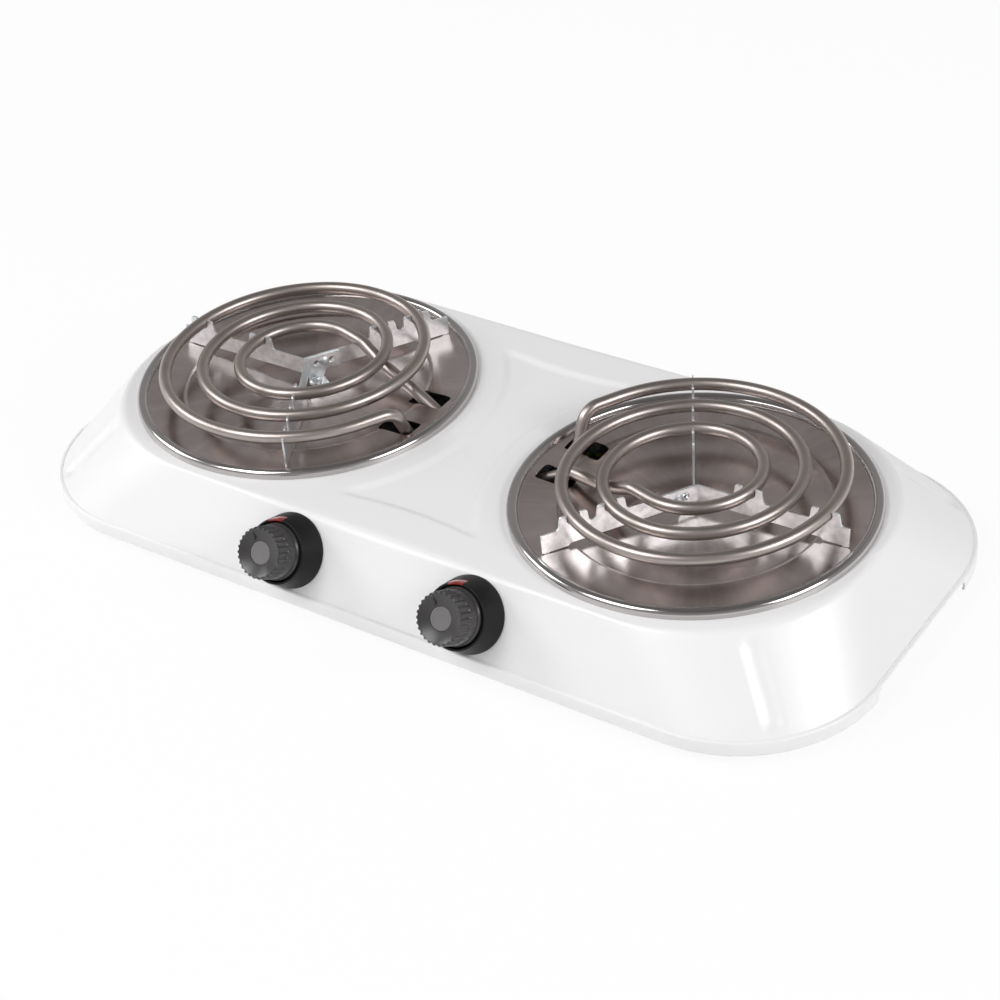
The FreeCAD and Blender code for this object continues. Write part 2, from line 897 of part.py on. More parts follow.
def support_strip(edges, angle):
    # Strip on edge with a pair of ears at each turn that it holds, and a shoe and a tab at its tip.
    root = arm_root(angle)
    tip = arm_tip(angle)
    along = (tip - root).normalize()
    length = (tip - root).Length
    half_seat = tube_radius + ear_gap
    pieces = [upright(root, tip, strip_low, strip_top, strip)]
    pieces.append(upright(tip - along * shoe_length, tip, shoe_low, strip_top, strip))
    for seat in held_seats(edges, angle):
        inner = root + along * (seat - half_seat)
        outer = root + along * (seat + half_seat)
        pieces.append(upright(inner, outer, strip_low, seat_height, strip))
        pieces.append(ear(inner - along * ear_width, inner))
        pieces.append(ear(outer, root + along * min(seat + half_seat + ear_width, length)))
    tab_in, tab_out = tip_tab(angle)
    pieces.append(upright(tab_in, tab_out, strip_low - tip_tab_height, strip_top, strip))
    return pieces


def coil_support(edges):
    # The long strip: two arms and the bend between them.
    pieces = support_strip(edges, left_arm) + support_strip(edges, rear_arm)
    apex = apex_point()
    pieces.append(rod(strip / 2, strip_low, strip_top, apex.x, apex.y))
    support = pieces[0].multiFuse(pieces[1:]).removeSplitter()
    return support.cut(rivet_hole())


def rivet_hole():
    return rivet_rod(rivet_radius + snug_fit, -3 * strip, 4 * strip)


def rivet_rod(radius, start, end):
    along, across = rear_arm_frame()
    middle = apex_point() + along * (flange_start + flange_length / 2)
    height = (strip_low + strip_top) / 2
    base = vec(middle.x, middle.y, height) + across * start
    return Part.makeCylinder(radius, end - start, base, across)


def support_arm(edges):
    # Third arm: its flange lies on the long strip, and its foot stands on the pan.
    along, across = rear_arm_frame()
    apex = apex_point()
    root = arm_root(front_arm)
    pieces = support_strip(edges, front_arm)
    pieces.append(rod(strip / 2 - tiny, strip_low, strip_top, root.x, root.y))
    flange_end = root + along * flange_length
    flange_top = strip_top - flange_margin
    pieces.append(upright(root, flange_end, strip_low, flange_top, strip))
    foot_end = root + along * foot_plate
    pieces.append(upright(root, foot_end, -floor_drop, flange_top, strip))
    plate = Part.makeBox(foot_plate, foot_plate, strip, vec(0, -foot_plate, 0))
    place = apex + along * flange_start + across * (strip / 2)
    plate.Placement = FreeCAD.Placement(
        vec(place.x, place.y, -floor_drop), FreeCAD.Rotation(vec(1, 0, 0), along)
    )
    arm = pieces[0].multiFuse(pieces[1:] + [plate]).removeSplitter()
    screw = centre_screw_point()
    arm = arm.cut(rod(centre_screw_radius + hole_gap, -far, 0, screw.x, screw.y))
    return arm.cut(rivet_hole())


def support_rivet():
    back = rivet_rod(rivet_head, -strip / 2 - rivet_head_height, -strip / 2)
    front = rivet_rod(rivet_head, 1.5 * strip, 1.5 * strip + rivet_head_height)
    return rivet_rod(rivet_radius, -strip / 2, 1.5 * strip).multiFuse([back, front]).removeSplitter()


def centre_screw():
    place = centre_screw_point()
    seat = strip - floor_drop
    low = -clamp_drop - nut_height - nut_stand
    head = rod(centre_screw_head, seat, seat + centre_screw_head_height, place.x, place.y)
    return head.fuse(rod(centre_screw_radius, low, seat, place.x, place.y)).removeSplitter()


def centre_nut():
    place = centre_screw_point()
    low = -clamp_drop - nut_height
    nut = hexagon(nut_flats, low, -clamp_drop, place.x, place.y)
    return nut.cut(rod(centre_screw_radius + run_fit, low - 1, 0, place.x, place.y))


def clamp_bar():
    # Cranked strap across the opening; its ends pull up against the deck.
    place = centre_screw_point()
    half = clamp_width / 2
    left = place.x - half
    right = place.x + half
    grip_in = math.sqrt(opening_radius**2 - min(left**2, right**2)) + free_fit
    low = -clamp_drop
    pieces = [box(vec(left, -grip_in, low), vec(right, grip_in, low + clamp_sheet))]
    for side in (-1, 1):
        inner = side * grip_in
        outer = side * (grip_in + clamp_sheet)
        grip = side * (grip_in + clamp_grip)
        pieces.append(box(vec(left, min(inner, outer), low), vec(right, max(inner, outer), -sheet)))
        flange_low = vec(left, min(inner, grip), -sheet - clamp_sheet)
        pieces.append(box(flange_low, vec(right, max(inner, grip), -sheet)))
    bar = pieces[0].multiFuse(pieces[1:]).removeSplitter()
    return bar.cut(rod(centre_screw_radius + run_fit, low - 1, 0, place.x, place.y))


def lead_bracket():
    # Angle under the deck that carries both legs of the coil.
    low = -sheet - bracket_drop
    wall = box(
        vec(bracket_x, -bracket_half_width, low),
        vec(bracket_x + bracket_sheet, bracket_half_width, -sheet),
    )
    flange = box(
        vec(bracket_x, -bracket_half_width, -sheet - bracket_sheet),
        vec(bracket_x + bracket_flange, bracket_half_width, -sheet),
    )
    bracket = wall.fuse(flange).removeSplitter()
    for side in (-1, 1):
        end = bracket_x + 2 * bracket_sheet
        bracket = bracket.cut(leg_rod(side, tube_radius + free_fit, bracket_x - 1, end))
    return bracket


def leg_rod(side, radius, start, end):
    return Part.makeCylinder(radius, end - start, vec(start, side * leg_spread, leg_height), vec(1, 0, 0))


def terminal_pins():
    return group([leg_rod(side, pin_radius, leg_end, leg_end + pin_length) for side in (-1, 1)])


def insulator_beads():
    beads = []
    for side in (-1, 1):
        bead = leg_rod(side, bead_radius, leg_end, leg_end + bead_length)
        beads.append(bead.cut(leg_rod(side, pin_radius + run_fit, leg_end - 1, leg_end + bead_length + 1)))
    return group(beads)


def pin_end(side, leg):
    # Free end of a terminal pin: leg -1 is the front one as the burner is made, 1 the rear one.
    point = vec(leg_end + pin_length, leg * leg_spread, leg_height)
    return burner_place(side, Part.Vertex(point)).Point


# Control pieces, made about the spindle axis with the panel's outer face at z = 0

def wedge(start, sweep, radius, low, high):
    sector = Part.makeCylinder(radius, high - low, vec(0, 0, low), vec(0, 0, 1), sweep)
    sector.rotate(vec(), vec(0, 0, 1), start)
    return sector


def collar_profile():
    return turned([
        (bush_radius + hole_gap, 0.0),
        (bezel_radius, 0.0),
        (bezel_radius, bezel_edge),
        (collar_radius, bezel_height),
        (knob_well, bezel_height),
        (knob_well, bezel_floor),
        (bush_radius + hole_gap, bezel_floor),
    ])


def knob_bezel():
    lamp = lamp_centre()
    low = bezel_height - window_height
    window = wedge(window_start, window_sweep, 2 * bezel_radius, low, 2 * bezel_height)
    window = window.cut(rod(knob_well - knob_clear / 2, 0, 3 * bezel_height))
    bezel = collar_profile().cut(window)
    return bezel.cut(rod(lamp_radius + free_fit, -1, bezel_floor + 1, lamp.x, lamp.y))


def lamp_lens():
    spare = math.degrees(free_fit / collar_radius)
    low = bezel_height - window_height
    filler = wedge(window_start + spare, window_sweep - 2 * spare, 2 * bezel_radius, low, bezel_height)
    return collar_profile().common(filler)


def neon_lamp():
    lamp = lamp_centre()
    shape = rod(lamp_radius, lamp_inner, lamp_top - lamp_radius, lamp.x, lamp.y)
    dome = Part.makeSphere(lamp_radius, vec(lamp.x, lamp.y, lamp_top - lamp_radius))
    return shape.fuse(dome).removeSplitter()


def knob():
    dish_edge = knob_front_radius - dish_depth / 3
    dish_low = knob_face - dish_depth
    pocket = cap_radius + free_fit
    shape = turned([
        (spindle_radius + snug_fit, hub_bottom),
        (hub_radius, hub_bottom),
        (hub_radius, knob_top_wall),
        (knob_radius - knob_wall, knob_top_wall),
        (knob_radius - knob_wall, knob_bottom),
        (knob_radius, knob_bottom),
        (knob_radius, knob_skirt_top),
        (knob_front_radius + flute_depth, knob_skirt_top + 1),
        (knob_front_radius, knob_face - flute_depth),
        (dish_edge, knob_face),
        (pocket, dish_low),
        (pocket, dish_low - cap_sheet),
        (0.0, dish_low - cap_sheet),
        (0.0, bore_top),
        (spindle_radius + snug_fit, bore_top),
    ])
    key_low = vec(spindle_flat + snug_fit, -hub_radius, hub_bottom)
    key = box(key_low, vec(hub_radius, hub_radius, bore_top))
    key = key.common(rod(spindle_radius + 2 * snug_fit, hub_bottom, bore_top))
    heading = polar(pointer_angle, 1.0)
    ridge = upright(
        heading * pointer_start,
        heading * (dish_edge - free_fit),
        dish_low - cap_sheet / 2,
        knob_face,
        pointer_width,
    )
    shape = shape.multiFuse([key, ridge])
    place = knob_front_radius + flute_radius - flute_depth
    flutes = []
    for i in range(flute_count):
        centre = polar(360 * i / flute_count, place)
        flutes.append(rod(flute_radius, knob_face - flute_length, knob_face + 1, centre.x, centre.y))
    return shape.cut(group(flutes)).removeSplitter()


def knob_cap():
    low = knob_face - dish_depth - cap_sheet
    cap = rod(cap_radius, low, low + cap_sheet)
    top = [e for e in cap.Edges if all(abs(v.Z - low - cap_sheet) < tiny for v in e.Vertexes)]
    return cap.makeChamfer(cap_sheet / 4, top)


def spindle():
    shaft = rod(spindle_radius, spindle_inner, bore_top - hole_gap)
    flat = box(vec(spindle_flat, -hub_radius, hub_bottom), vec(hub_radius, hub_radius, bore_top))
    return shaft.cut(flat)


def panel_nut_ring():
    nut = hexagon(panel_nut * math.sqrt(3), bezel_floor, bezel_floor + panel_nut_height)
    return nut.cut(rod(bush_radius + run_fit, 0, bezel_height))


def regulator_plate():
    back = -sheet - plate_sheet
    plate = box(vec(-case_half_width, -case_low, back), vec(case_half_width, case_top, -sheet))
    shape = plate.fuse(rod(bush_radius, back, bush_top))
    return shape.cut(rod(spindle_radius + run_fit, back - 1, bush_top + 1)).removeSplitter()


def regulator_case():
    front = -sheet - plate_sheet
    case = box(vec(-case_half_width, -case_low, front - case_depth), vec(case_half_width, case_top, front))
    edges = [e for e in case.Edges if abs(e.tangentAt(e.FirstParameter).z) > 0.99]
    case = case.makeFillet(plate_sheet, edges)
    return case.cut(rod(spindle_radius + hole_gap, spindle_inner - plate_sheet, 1))


def regulator_blades():
    back = -sheet - plate_sheet - case_depth
    return group([
        box(
            vec(i * blade_spread - blade_width / 2, -blade_drop - blade_sheet / 2, back - blade_length),
            vec(i * blade_spread + blade_width / 2, -blade_drop + blade_sheet / 2, back),
        )
        for i in (-1, 0, 1)
    ])


# Supply side

def cord_gland():
    root = gland_flange - gland_flange_sheet
    nose = Part.makeCone(root, gland_nose, gland_nose_length, vec(0, 0, gland_flange_sheet))
    shape = rod(gland_radius, -gland_tail, 0).multiFuse([rod(gland_flange, 0, gland_flange_sheet), nose])
    return shape.cut(rod(gland_bore, -far, far)).removeSplitter()


def gland_nut():
    nut = hexagon(2 * gland_flange - sheet, -sheet - gland_nut_height, -sheet)
    return nut.cut(rod(gland_radius + run_fit, -gland_tail, 1))


def entry_places():
    return [(i - (entry_count - 1) / 2) * entry_pitch for i in range(entry_count)]


def terminal_block():
    front = block_y - block_width / 2
    back = block_y + block_width / 2
    top = base_top + block_height
    block = box(vec(-block_half_length, front, base_top), vec(block_half_length, back, top))
    for x in entry_places():
        deep = base_top + entry_height
        block = block.cut(rod(block_screw + free_fit, deep + block_hole, top + 1, x, block_y))
    walls = [(entry_places()[i] + entry_places()[i + 1]) / 2 for i in range(entry_count - 1)]
    for x in walls:
        slot = box(vec(x - sheet, front - 1, top - 2 * sheet), vec(x + sheet, back + 1, top + 1))
        block = block.cut(slot)
    return block


def block_screws():
    low = base_top + entry_height + block_hole
    screws = []
    for x in entry_places():
        screw = rod(block_screw, low, base_top + block_height - block_screw_height, x, block_y)
        slot_low = base_top + block_height - 2 * block_screw_height
        half = block_screw_slot / 2
        slot = box(vec(x - far, block_y - half, slot_low), vec(x + far, block_y + half, far))
        screws.append(screw.cut(slot))
    return group(screws)


def block_entry(i):
    return vec(entry_places()[i], block_y - block_width / 2, base_top + entry_height)


def earth_stud():
    low = base_low - screw_head_height
    head = rod(screw_head, low, base_low, stud_x, stud_y)
    return head.fuse(rod(stud_radius, low, base_top + stud_height, stud_x, stud_y)).removeSplitter()


def earth_nuts():
    nuts = []
    lift = nut_height + eyelet_sheet
    for low in (base_top, base_top + lift):
        nut = hexagon(nut_flats, low, low + nut_height, stud_x, stud_y)
        nuts.append(nut.cut(rod(stud_radius + run_fit, low - 1, low + nut_height + 1, stud_x, stud_y)))
    return group(nuts)


# Wires, straight runs joined by arcs as large as the runs allow

def wire_bend(shorter, turn):
    return wire_bend_share * shorter / math.tan(turn / 2)


def wire(points):
    edges = rounded_path(points, wire_bend)
    heading = edges[0].tangentAt(edges[0].FirstParameter)
    section = Part.Wire([Part.makeCircle(wire_radius, points[0], heading)])
    tube = Part.Wire(edges).makePipeShell([section], True, False)
    length = sum(e.Length for e in edges)
    if abs(tube.Volume - math.pi * wire_radius**2 * length) > 0.01 * tube.Volume:
        print("wire volume differs from its section times its length")
    return tube


def pin_lead(side, leg):
    # First points of a wire from a coil pin: out along the pin, then down under the deck.
    start = pin_end(side, leg)
    rearward = math.copysign(1.0, start.y)
    return [
        start,
        start - vec(side * pin_run, 0, 0),
        vec(start.x - side * 2 * wire_radius, start.y + rearward * pin_run_back, start.z - pin_run_drop),
    ]


def blade_lead(side, i):
    # Last points of a wire to a regulator blade: in line with the blade, then its end.
    back = -sheet - plate_sheet - case_depth - blade_length
    return [
        control_point(side, i * blade_spread, -blade_drop, back - blade_run),
        control_point(side, i * blade_spread, -blade_drop, back),
    ]


def entry_lead(i):
    entry = block_entry(i)
    return [entry - vec(0, entry_run, 0), entry]


def load_wire(side):
    blade = blade_lead(side, side)
    route = pin_lead(side, side)
    route.append(vec(control_x(side) - side * load_turn, load_back - deck_half_width, base_top + load_lift))
    route.append(vec(blade[0].x, load_end_back - deck_half_width, base_top + load_end_lift))
    return wire(route + blade)


def neutral_wire(side):
    return wire(pin_lead(side, -side) + entry_lead(1 if side < 0 else 2))


def link_wire():
    left = blade_lead(-1, 1)
    right = blade_lead(1, -1)
    y = link_back - deck_half_width
    z = base_top + link_lift
    route = [
        vec(control_x(-1) + load_turn, y, z),
        vec(knob_offset, y + link_bow, z - link_sag),
        vec(control_x(1) - load_turn, y, z),
    ]
    return wire(left[::-1] + route + right)


def live_wire():
    route = [
        vec(control_x(-1) + live_turn, live_back - deck_half_width, base_top + live_lift),
        vec(control_x(-1) + live_shift, live_cross, base_top + live_cross_lift),
    ]
    return wire(blade_lead(-1, 0)[::-1] + route + entry_lead(0))


def earth_wire():
    # The wire ends in an eyelet between the two nuts of the stud.
    low = base_top + nut_height
    eyelet = ring(eyelet_radius, stud_radius + free_fit, low, low + eyelet_sheet, stud_x, stud_y)
    end = vec(stud_x - eyelet_radius + eyelet_sheet / 4, stud_y, low + eyelet_sheet / 2)
    route = entry_lead(3)[::-1] + [end - vec(blade_run, 0, 0), end]
    return eyelet.fuse(wire(route)).removeSplitter()


def save(name, shape):
    shape.exportStep("parts/" + name + ".step")


def build():
    save("top_housing", top_housing())
    save("base_plate", base_plate())
    save("base_screws", base_screws())
    save("rubber_feet", rubber_feet())
    save("foot_bolts", foot_bolts())
    save("foot_nuts", foot_nuts())
    edges = coil_path()
    print("least gap of the coil to itself", round(coil_gap(edges), 2))
    burner = {
        "drip_pan": drip_pan(),
        "heating_coil": heating_coil(edges),
        "coil_support": coil_support(edges),
        "support_arm": support_arm(edges),
        "clamp_bar": clamp_bar(),
        "lead_bracket": lead_bracket(),
        "terminal_pins": terminal_pins(),
        "insulator_beads": insulator_beads(),
    }
    control = {
        "knob_bezel": knob_bezel(),
        "lamp_lens": lamp_lens(),
        "neon_lamp": neon_lamp(),
        "knob": knob(),
        "knob_cap": knob_cap(),
        "spindle": spindle(),
        "regulator_plate": regulator_plate(),
        "regulator_case": regulator_case(),
        "regulator_blades": regulator_blades(),
    }
    for side, word in ((-1, "left_"), (1, "right_")):
        for name, shape in burner.items():
            save(word + name, burner_place(side, shape))
        for name, shape in control.items():
            save(word + name, bezel_place(side, shape))
        save(word + "load_wire", load_wire(side))
        save(word + "neutral_wire", neutral_wire(side))
    save("support_rivets", group([burner_place(side, support_rivet()) for side in (-1, 1)]))
    save("centre_screws", group([burner_place(side, centre_screw()) for side in (-1, 1)]))
    save("centre_nuts", group([burner_place(side, centre_nut()) for side in (-1, 1)]))
    save("panel_nuts", group([bezel_place(side, panel_nut_ring()) for side in (-1, 1)]))
    save("cord_gland", on_wall(cord_gland(), gland_x, gland_drop, 1))
    save("gland_nut", on_wall(gland_nut(), gland_x, gland_drop, 1))
    save("terminal_block", terminal_block())
    save("block_screws", block_screws())
    save("earth_stud", earth_stud())
    save("earth_nuts", earth_nuts())
    save("link_wire", link_wire())
    save("live_wire", live_wire())
    save("earth_wire", earth_wire())


build()
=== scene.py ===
import math
import bmesh
import bpy
from mathutils import Matrix, Vector
from mathutils.geometry import delaunay_2d_cdt


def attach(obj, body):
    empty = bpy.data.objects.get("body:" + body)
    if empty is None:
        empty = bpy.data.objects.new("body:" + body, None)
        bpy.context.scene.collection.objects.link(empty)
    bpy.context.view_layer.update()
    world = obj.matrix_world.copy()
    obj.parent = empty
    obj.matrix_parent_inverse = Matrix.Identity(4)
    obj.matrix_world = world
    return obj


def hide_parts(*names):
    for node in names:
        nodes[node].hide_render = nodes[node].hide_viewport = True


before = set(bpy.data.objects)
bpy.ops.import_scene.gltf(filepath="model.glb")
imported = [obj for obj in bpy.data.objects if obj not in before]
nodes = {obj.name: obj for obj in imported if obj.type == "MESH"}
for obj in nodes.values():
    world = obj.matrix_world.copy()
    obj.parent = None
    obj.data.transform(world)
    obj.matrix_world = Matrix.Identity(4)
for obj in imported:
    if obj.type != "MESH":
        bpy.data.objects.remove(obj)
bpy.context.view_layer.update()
print("frame loaded:", len(nodes), "nodes")

# Pieces are modelled in millimetres about their own centre and then put in their place in metres.
mm = 0.001
layout = {
    "burnerX": 119.5,       # burner centre to the middle
    "deckZ": 47.5,          # top of the deck above the table
    "deckHalf": (216.5, 97.0, 88.0),    # half length, half width, corner
    "skirtHalf": (240.3, 117.5, 71.3),
    "hemHalf": (242.3, 119.5, 73.3),
    "hemTop": 13.0,
    "hemLow": 5.0,
}
wallRise = layout["deckZ"] - layout["hemTop"]
wallRun = layout["skirtHalf"][1] - layout["deckHalf"][1]
slope = math.atan2(wallRise, wallRun)
wallMiddle = math.hypot(wallRise, wallRun) / 2
sides = (("left", -1), ("right", 1))


# Small tools

def deselectAll():
    if bpy.context.mode != "OBJECT":
        bpy.ops.object.mode_set(mode="OBJECT")
    bpy.ops.object.select_all(action="DESELECT")


def pickOnly(*objs):
    deselectAll()
    for obj in objs:
        obj.select_set(True)
    bpy.context.view_layer.objects.active = objs[0]


def joinPieces(pieces):
    pickOnly(*pieces)
    bpy.ops.object.join()
    return pieces[0]


def cleanMesh(obj, merge=1e-4):
    pickOnly(obj)
    bpy.ops.object.mode_set(mode="EDIT")
    bpy.ops.mesh.select_all(action="SELECT")
    bpy.ops.mesh.remove_doubles(threshold=merge)
    bpy.ops.mesh.normals_make_consistent(inside=False)
    bpy.ops.object.mode_set(mode="OBJECT")


def addModifier(obj, kind, **settings):
    pickOnly(obj)
    modifier = obj.modifiers.new(kind.lower(), kind)
    for key, value in settings.items():
        setattr(modifier, key, value)
    bpy.ops.object.modifier_apply(modifier=modifier.name)


def softenEdges(obj, width, segments=2, degrees=35):
    addModifier(obj, "BEVEL", width=width, segments=segments, limit_method="ANGLE",
                angle_limit=math.radians(degrees), harden_normals=False)


def cutAway(obj, cutters):
    cutter = joinPieces(cutters) if len(cutters) > 1 else cutters[0]
    addModifier(obj, "BOOLEAN", operation="DIFFERENCE", solver="MANIFOLD", object=cutter)
    bpy.data.objects.remove(cutter)


def placed(obj, place):
    pickOnly(obj)
    obj.matrix_world = place @ obj.matrix_world
    bpy.ops.object.transform_apply(location=True, rotation=True, scale=True)
    return obj


def settle(obj, place):
    placed(obj, Matrix.Scale(mm, 4) @ place)


def dress(obj, name, material, body, replaced=(), degrees=30):
    obj.name = name
    obj.data.name = name
    obj.data.materials.clear()
    obj.data.materials.append(material)
    pickOnly(obj)
    bpy.ops.object.shade_smooth_by_angle(angle=math.radians(degrees))
    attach(obj, body)
    if replaced:
        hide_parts(*replaced)


def burnerPlace(side):
    turn = Matrix.Rotation(math.pi if side > 0 else 0.0, 4, "Z")
    return Matrix.Translation((side * layout["burnerX"], 0, layout["deckZ"])) @ turn


def wallPlace(x, drop, side):
    # stands a piece on the front (-1) or rear (1) wall, drop mm down the slope
    y = side * (layout["deckHalf"][1] + drop * math.cos(slope))
    z = layout["deckZ"] - drop * math.sin(slope)
    return Matrix.Translation((x, y, z)) @ Matrix.Rotation(-side * slope, 4, "X")


def turnedAlong(along, start):
    # turns a piece from X to a level heading and moves it to its start
    return Matrix.Translation(start) @ Matrix.Rotation(math.atan2(along.y, along.x), 4, "Z")


def polar(degrees, radius, z=0.0):
    turn = math.radians(degrees)
    return Vector((radius * math.cos(turn), radius * math.sin(turn), z))


def rounded(points, closed=True, steps=5):
    # each point is (a, b) or (a, b, radius); a rounding takes less than half of a side
    out = []
    last = len(points) - 1
    for k, point in enumerate(points):
        here = Vector(point[:2])
        if len(point) < 3 or (not closed and k in (0, last)):
            out.append(tuple(here))
            continue
        before = Vector(points[k - 1][:2]) - here
        after = Vector(points[(k + 1) % len(points)][:2]) - here
        half = before.angle(after) / 2
        reach = min(point[2] / math.tan(half), 0.49 * min(before.length, after.length))
        radius = reach * math.tan(half)
        before.normalize()
        after.normalize()
        centre = here + (before + after).normalized() * (radius / math.sin(half))
        start = here + before * reach - centre
        end = here + after * reach - centre
        for s in range(steps + 1):
            out.append(tuple(centre + start.lerp(end, s / steps).normalized() * radius))
    return out


def ringTower(name, rings, lengths=None):
    # a circle, extruded and placed ring by ring; lengths along a tube go into its skin attribute
    count = len(rings[0])
    deselectAll()
    bpy.ops.mesh.primitive_circle_add(vertices=count, radius=1.0)
    obj = bpy.context.object
    obj.name = name
    bpy.ops.object.mode_set(mode="EDIT")
    bm = bmesh.from_edit_mesh(obj.data)
    bm.verts.layers.int.new("ringPlace")
    if lengths:
        bm.verts.layers.float_vector.new("skin")
    tag = bm.verts.layers.int["ringPlace"]
    for i, v in enumerate(bm.verts):
        v[tag] = i
    bpy.ops.mesh.select_all(action="SELECT")
    for k, ring in enumerate(rings):
        if k:
            bpy.ops.mesh.extrude_region_move()
        bm = bmesh.from_edit_mesh(obj.data)
        tag = bm.verts.layers.int["ringPlace"]
        skin = bm.verts.layers.float_vector.get("skin")
        for v in bm.verts:
            if v.select:
                v.co = ring[v[tag]]
                if skin:
                    around = 2 * math.pi * v[tag] / count
                    v[skin] = (lengths[k], math.cos(around), math.sin(around))
    bmesh.update_edit_mesh(obj.data)
    bpy.ops.object.mode_set(mode="OBJECT")
    obj.data.attributes.remove(obj.data.attributes["ringPlace"])
    cleanMesh(obj)
    return obj


def lathe(name, profile, count=128):
    rings = [[polar(360 * i / count, r, z) for i in range(count)] for r, z in profile]
    if profile[0][0] > 0:
        rings.append(rings[0])
    return ringTower(name, rings)


def flatPlate(name, outline, thick):
    # outline in the XZ plane, thickness along Y
    deselectAll()
    bpy.ops.mesh.primitive_circle_add(vertices=len(outline), radius=1.0, fill_type="NGON")
    obj = bpy.context.object
    obj.name = name
    for v, (a, b) in zip(obj.data.vertices, outline):
        v.co = (a, -thick / 2, b)
    bpy.ops.object.mode_set(mode="EDIT")
    bpy.ops.mesh.select_all(action="SELECT")
    bpy.ops.mesh.extrude_region_move(TRANSFORM_OT_translate={"value": (0, thick, 0)})
    bpy.ops.mesh.select_all(action="SELECT")
    bpy.ops.mesh.normals_make_consistent(inside=False)
    bpy.ops.object.mode_set(mode="OBJECT")
    return obj


def block(name, low, high, soft=0.0, segments=3):
    deselectAll()
    low = Vector(low)
    high = Vector(high)
    bpy.ops.mesh.primitive_cube_add(size=1.0, location=(low + high) / 2)
    obj = bpy.context.object
    obj.name = name
    obj.scale = high - low
    bpy.ops.object.transform_apply(location=True, rotation=True, scale=True)
    if soft:
        softenEdges(obj, soft, segments)
    return obj


def peg(name, radius, low, high, x=0.0, y=0.0, count=48):
    deselectAll()
    place = (x, y, (low + high) / 2)
    bpy.ops.mesh.primitive_cylinder_add(vertices=count, radius=radius, depth=high - low, location=place)
    obj = bpy.context.object
    obj.name = name
    bpy.ops.object.transform_apply(location=True, rotation=True, scale=True)
    return obj


# Finishes

def addNode(tree, kind, **values):
    node = tree.nodes.new(kind)
    for key, value in values.items():
        if hasattr(node, key):
            setattr(node, key, value)
        else:
            node.inputs[key.replace("_", " ")].default_value = value
    return node


def fillRamp(ramp, stops):
    elements = ramp.color_ramp.elements
    while len(elements) < len(stops):
        elements.new(0.5)
    for element, (place, colour) in zip(elements, stops):
        element.position = place
        element.color = (*colour, 1.0)


def newGroup(name, inputs, outputs):
    group = bpy.data.node_groups.new(name, "ShaderNodeTree")
    for label, value in inputs:
        socket = group.interface.new_socket(label, in_out="INPUT", socket_type="NodeSocketFloat")
        socket.default_value = value
    group.interface.new_socket("Vector", in_out="INPUT", socket_type="NodeSocketVector")
    for label in outputs:
        group.interface.new_socket(label, in_out="OUTPUT", socket_type="NodeSocketFloat")
    return group, addNode(group, "NodeGroupInput"), addNode(group, "NodeGroupOutput")


def mixedNoiseGroup():
    # cloudy and fine noise together, both round 0.5
    group, start, end = newGroup("mixedNoise", [("Coarse", 40.0), ("Fine", 900.0)], ["Cloud", "Grain"])
    coarse = addNode(group, "ShaderNodeTexNoise", Detail=3.0, Roughness=0.55)
    fine = addNode(group, "ShaderNodeTexNoise", Detail=2.0, Roughness=0.6)
    for node, label, out in ((coarse, "Coarse", "Cloud"), (fine, "Fine", "Grain")):
        group.links.new(start.outputs["Vector"], node.inputs["Vector"])
        group.links.new(start.outputs[label], node.inputs["Scale"])
        group.links.new(node.outputs["Fac"], end.inputs[out])
    return group


def turnedLinesGroup():
    # fine rings round the Z axis of the vector, and a noise by angle round that axis that the pan paints as
    # a fan of highlights
    group, start, end = newGroup("turnedLines", [("Fineness", 2500.0)], ["Lines", "Streaks", "Reach"])
    split = addNode(group, "ShaderNodeSeparateXYZ")
    flat = addNode(group, "ShaderNodeCombineXYZ")
    reach = addNode(group, "ShaderNodeVectorMath", operation="LENGTH")
    lines = addNode(group, "ShaderNodeTexNoise", noise_dimensions="1D", Detail=3.0, Roughness=0.7)
    normal = addNode(group, "ShaderNodeVectorMath", operation="NORMALIZE")
    # painted highlight: this noise changes only with the angle round the axis and gives the pan its fan of
    # sheen
    streaks = addNode(group, "ShaderNodeTexNoise", Scale=9.0, Detail=4.0, Roughness=0.6)
    link = group.links.new
    link(start.outputs["Vector"], split.inputs[0])
    link(split.outputs["X"], flat.inputs["X"])
    link(split.outputs["Y"], flat.inputs["Y"])
    link(flat.outputs[0], reach.inputs[0])
    link(reach.outputs["Value"], lines.inputs["W"])
    link(start.outputs["Fineness"], lines.inputs["Scale"])
    link(flat.outputs[0], normal.inputs[0])
    link(normal.outputs[0], streaks.inputs["Vector"])
    link(lines.outputs["Fac"], end.inputs["Lines"])
    link(streaks.outputs["Fac"], end.inputs["Streaks"])
    link(reach.outputs["Value"], end.inputs["Reach"])
    return group


def scratchGroup():
    # sparse thin scuffs
    group, start, end = newGroup("thinScuffs", [("Size", 60.0), ("Share", 0.62)], ["Scuffs"])
    warp = addNode(group, "ShaderNodeTexNoise", Scale=25.0, Detail=2.0)
    stretch = addNode(group, "ShaderNodeVectorMath", operation="MULTIPLY_ADD")
    stretch.inputs[1].default_value = (1.0, 9.0, 4.0)
    lines = addNode(group, "ShaderNodeTexNoise", Detail=5.0, Roughness=0.75)
    limit = addNode(group, "ShaderNodeMapRange", To_Min=0.0, To_Max=1.0)
    above = addNode(group, "ShaderNodeMath", operation="ADD")
    above.inputs[1].default_value = 0.09
    link = group.links.new
    link(start.outputs["Vector"], warp.inputs["Vector"])
    link(start.outputs["Vector"], stretch.inputs[0])
    link(warp.outputs["Color"], stretch.inputs[2])
    link(stretch.outputs[0], lines.inputs["Vector"])
    link(start.outputs["Size"], lines.inputs["Scale"])
    link(start.outputs["Share"], limit.inputs["From Min"])
    link(start.outputs["Share"], above.inputs[0])
    link(above.outputs[0], limit.inputs["From Max"])
    link(lines.outputs["Fac"], limit.inputs["Value"])
    link(limit.outputs["Result"], end.inputs["Scuffs"])
    return group


mixedNoise = mixedNoiseGroup()
turnedLines = turnedLinesGroup()
thinScuffs = scratchGroup()


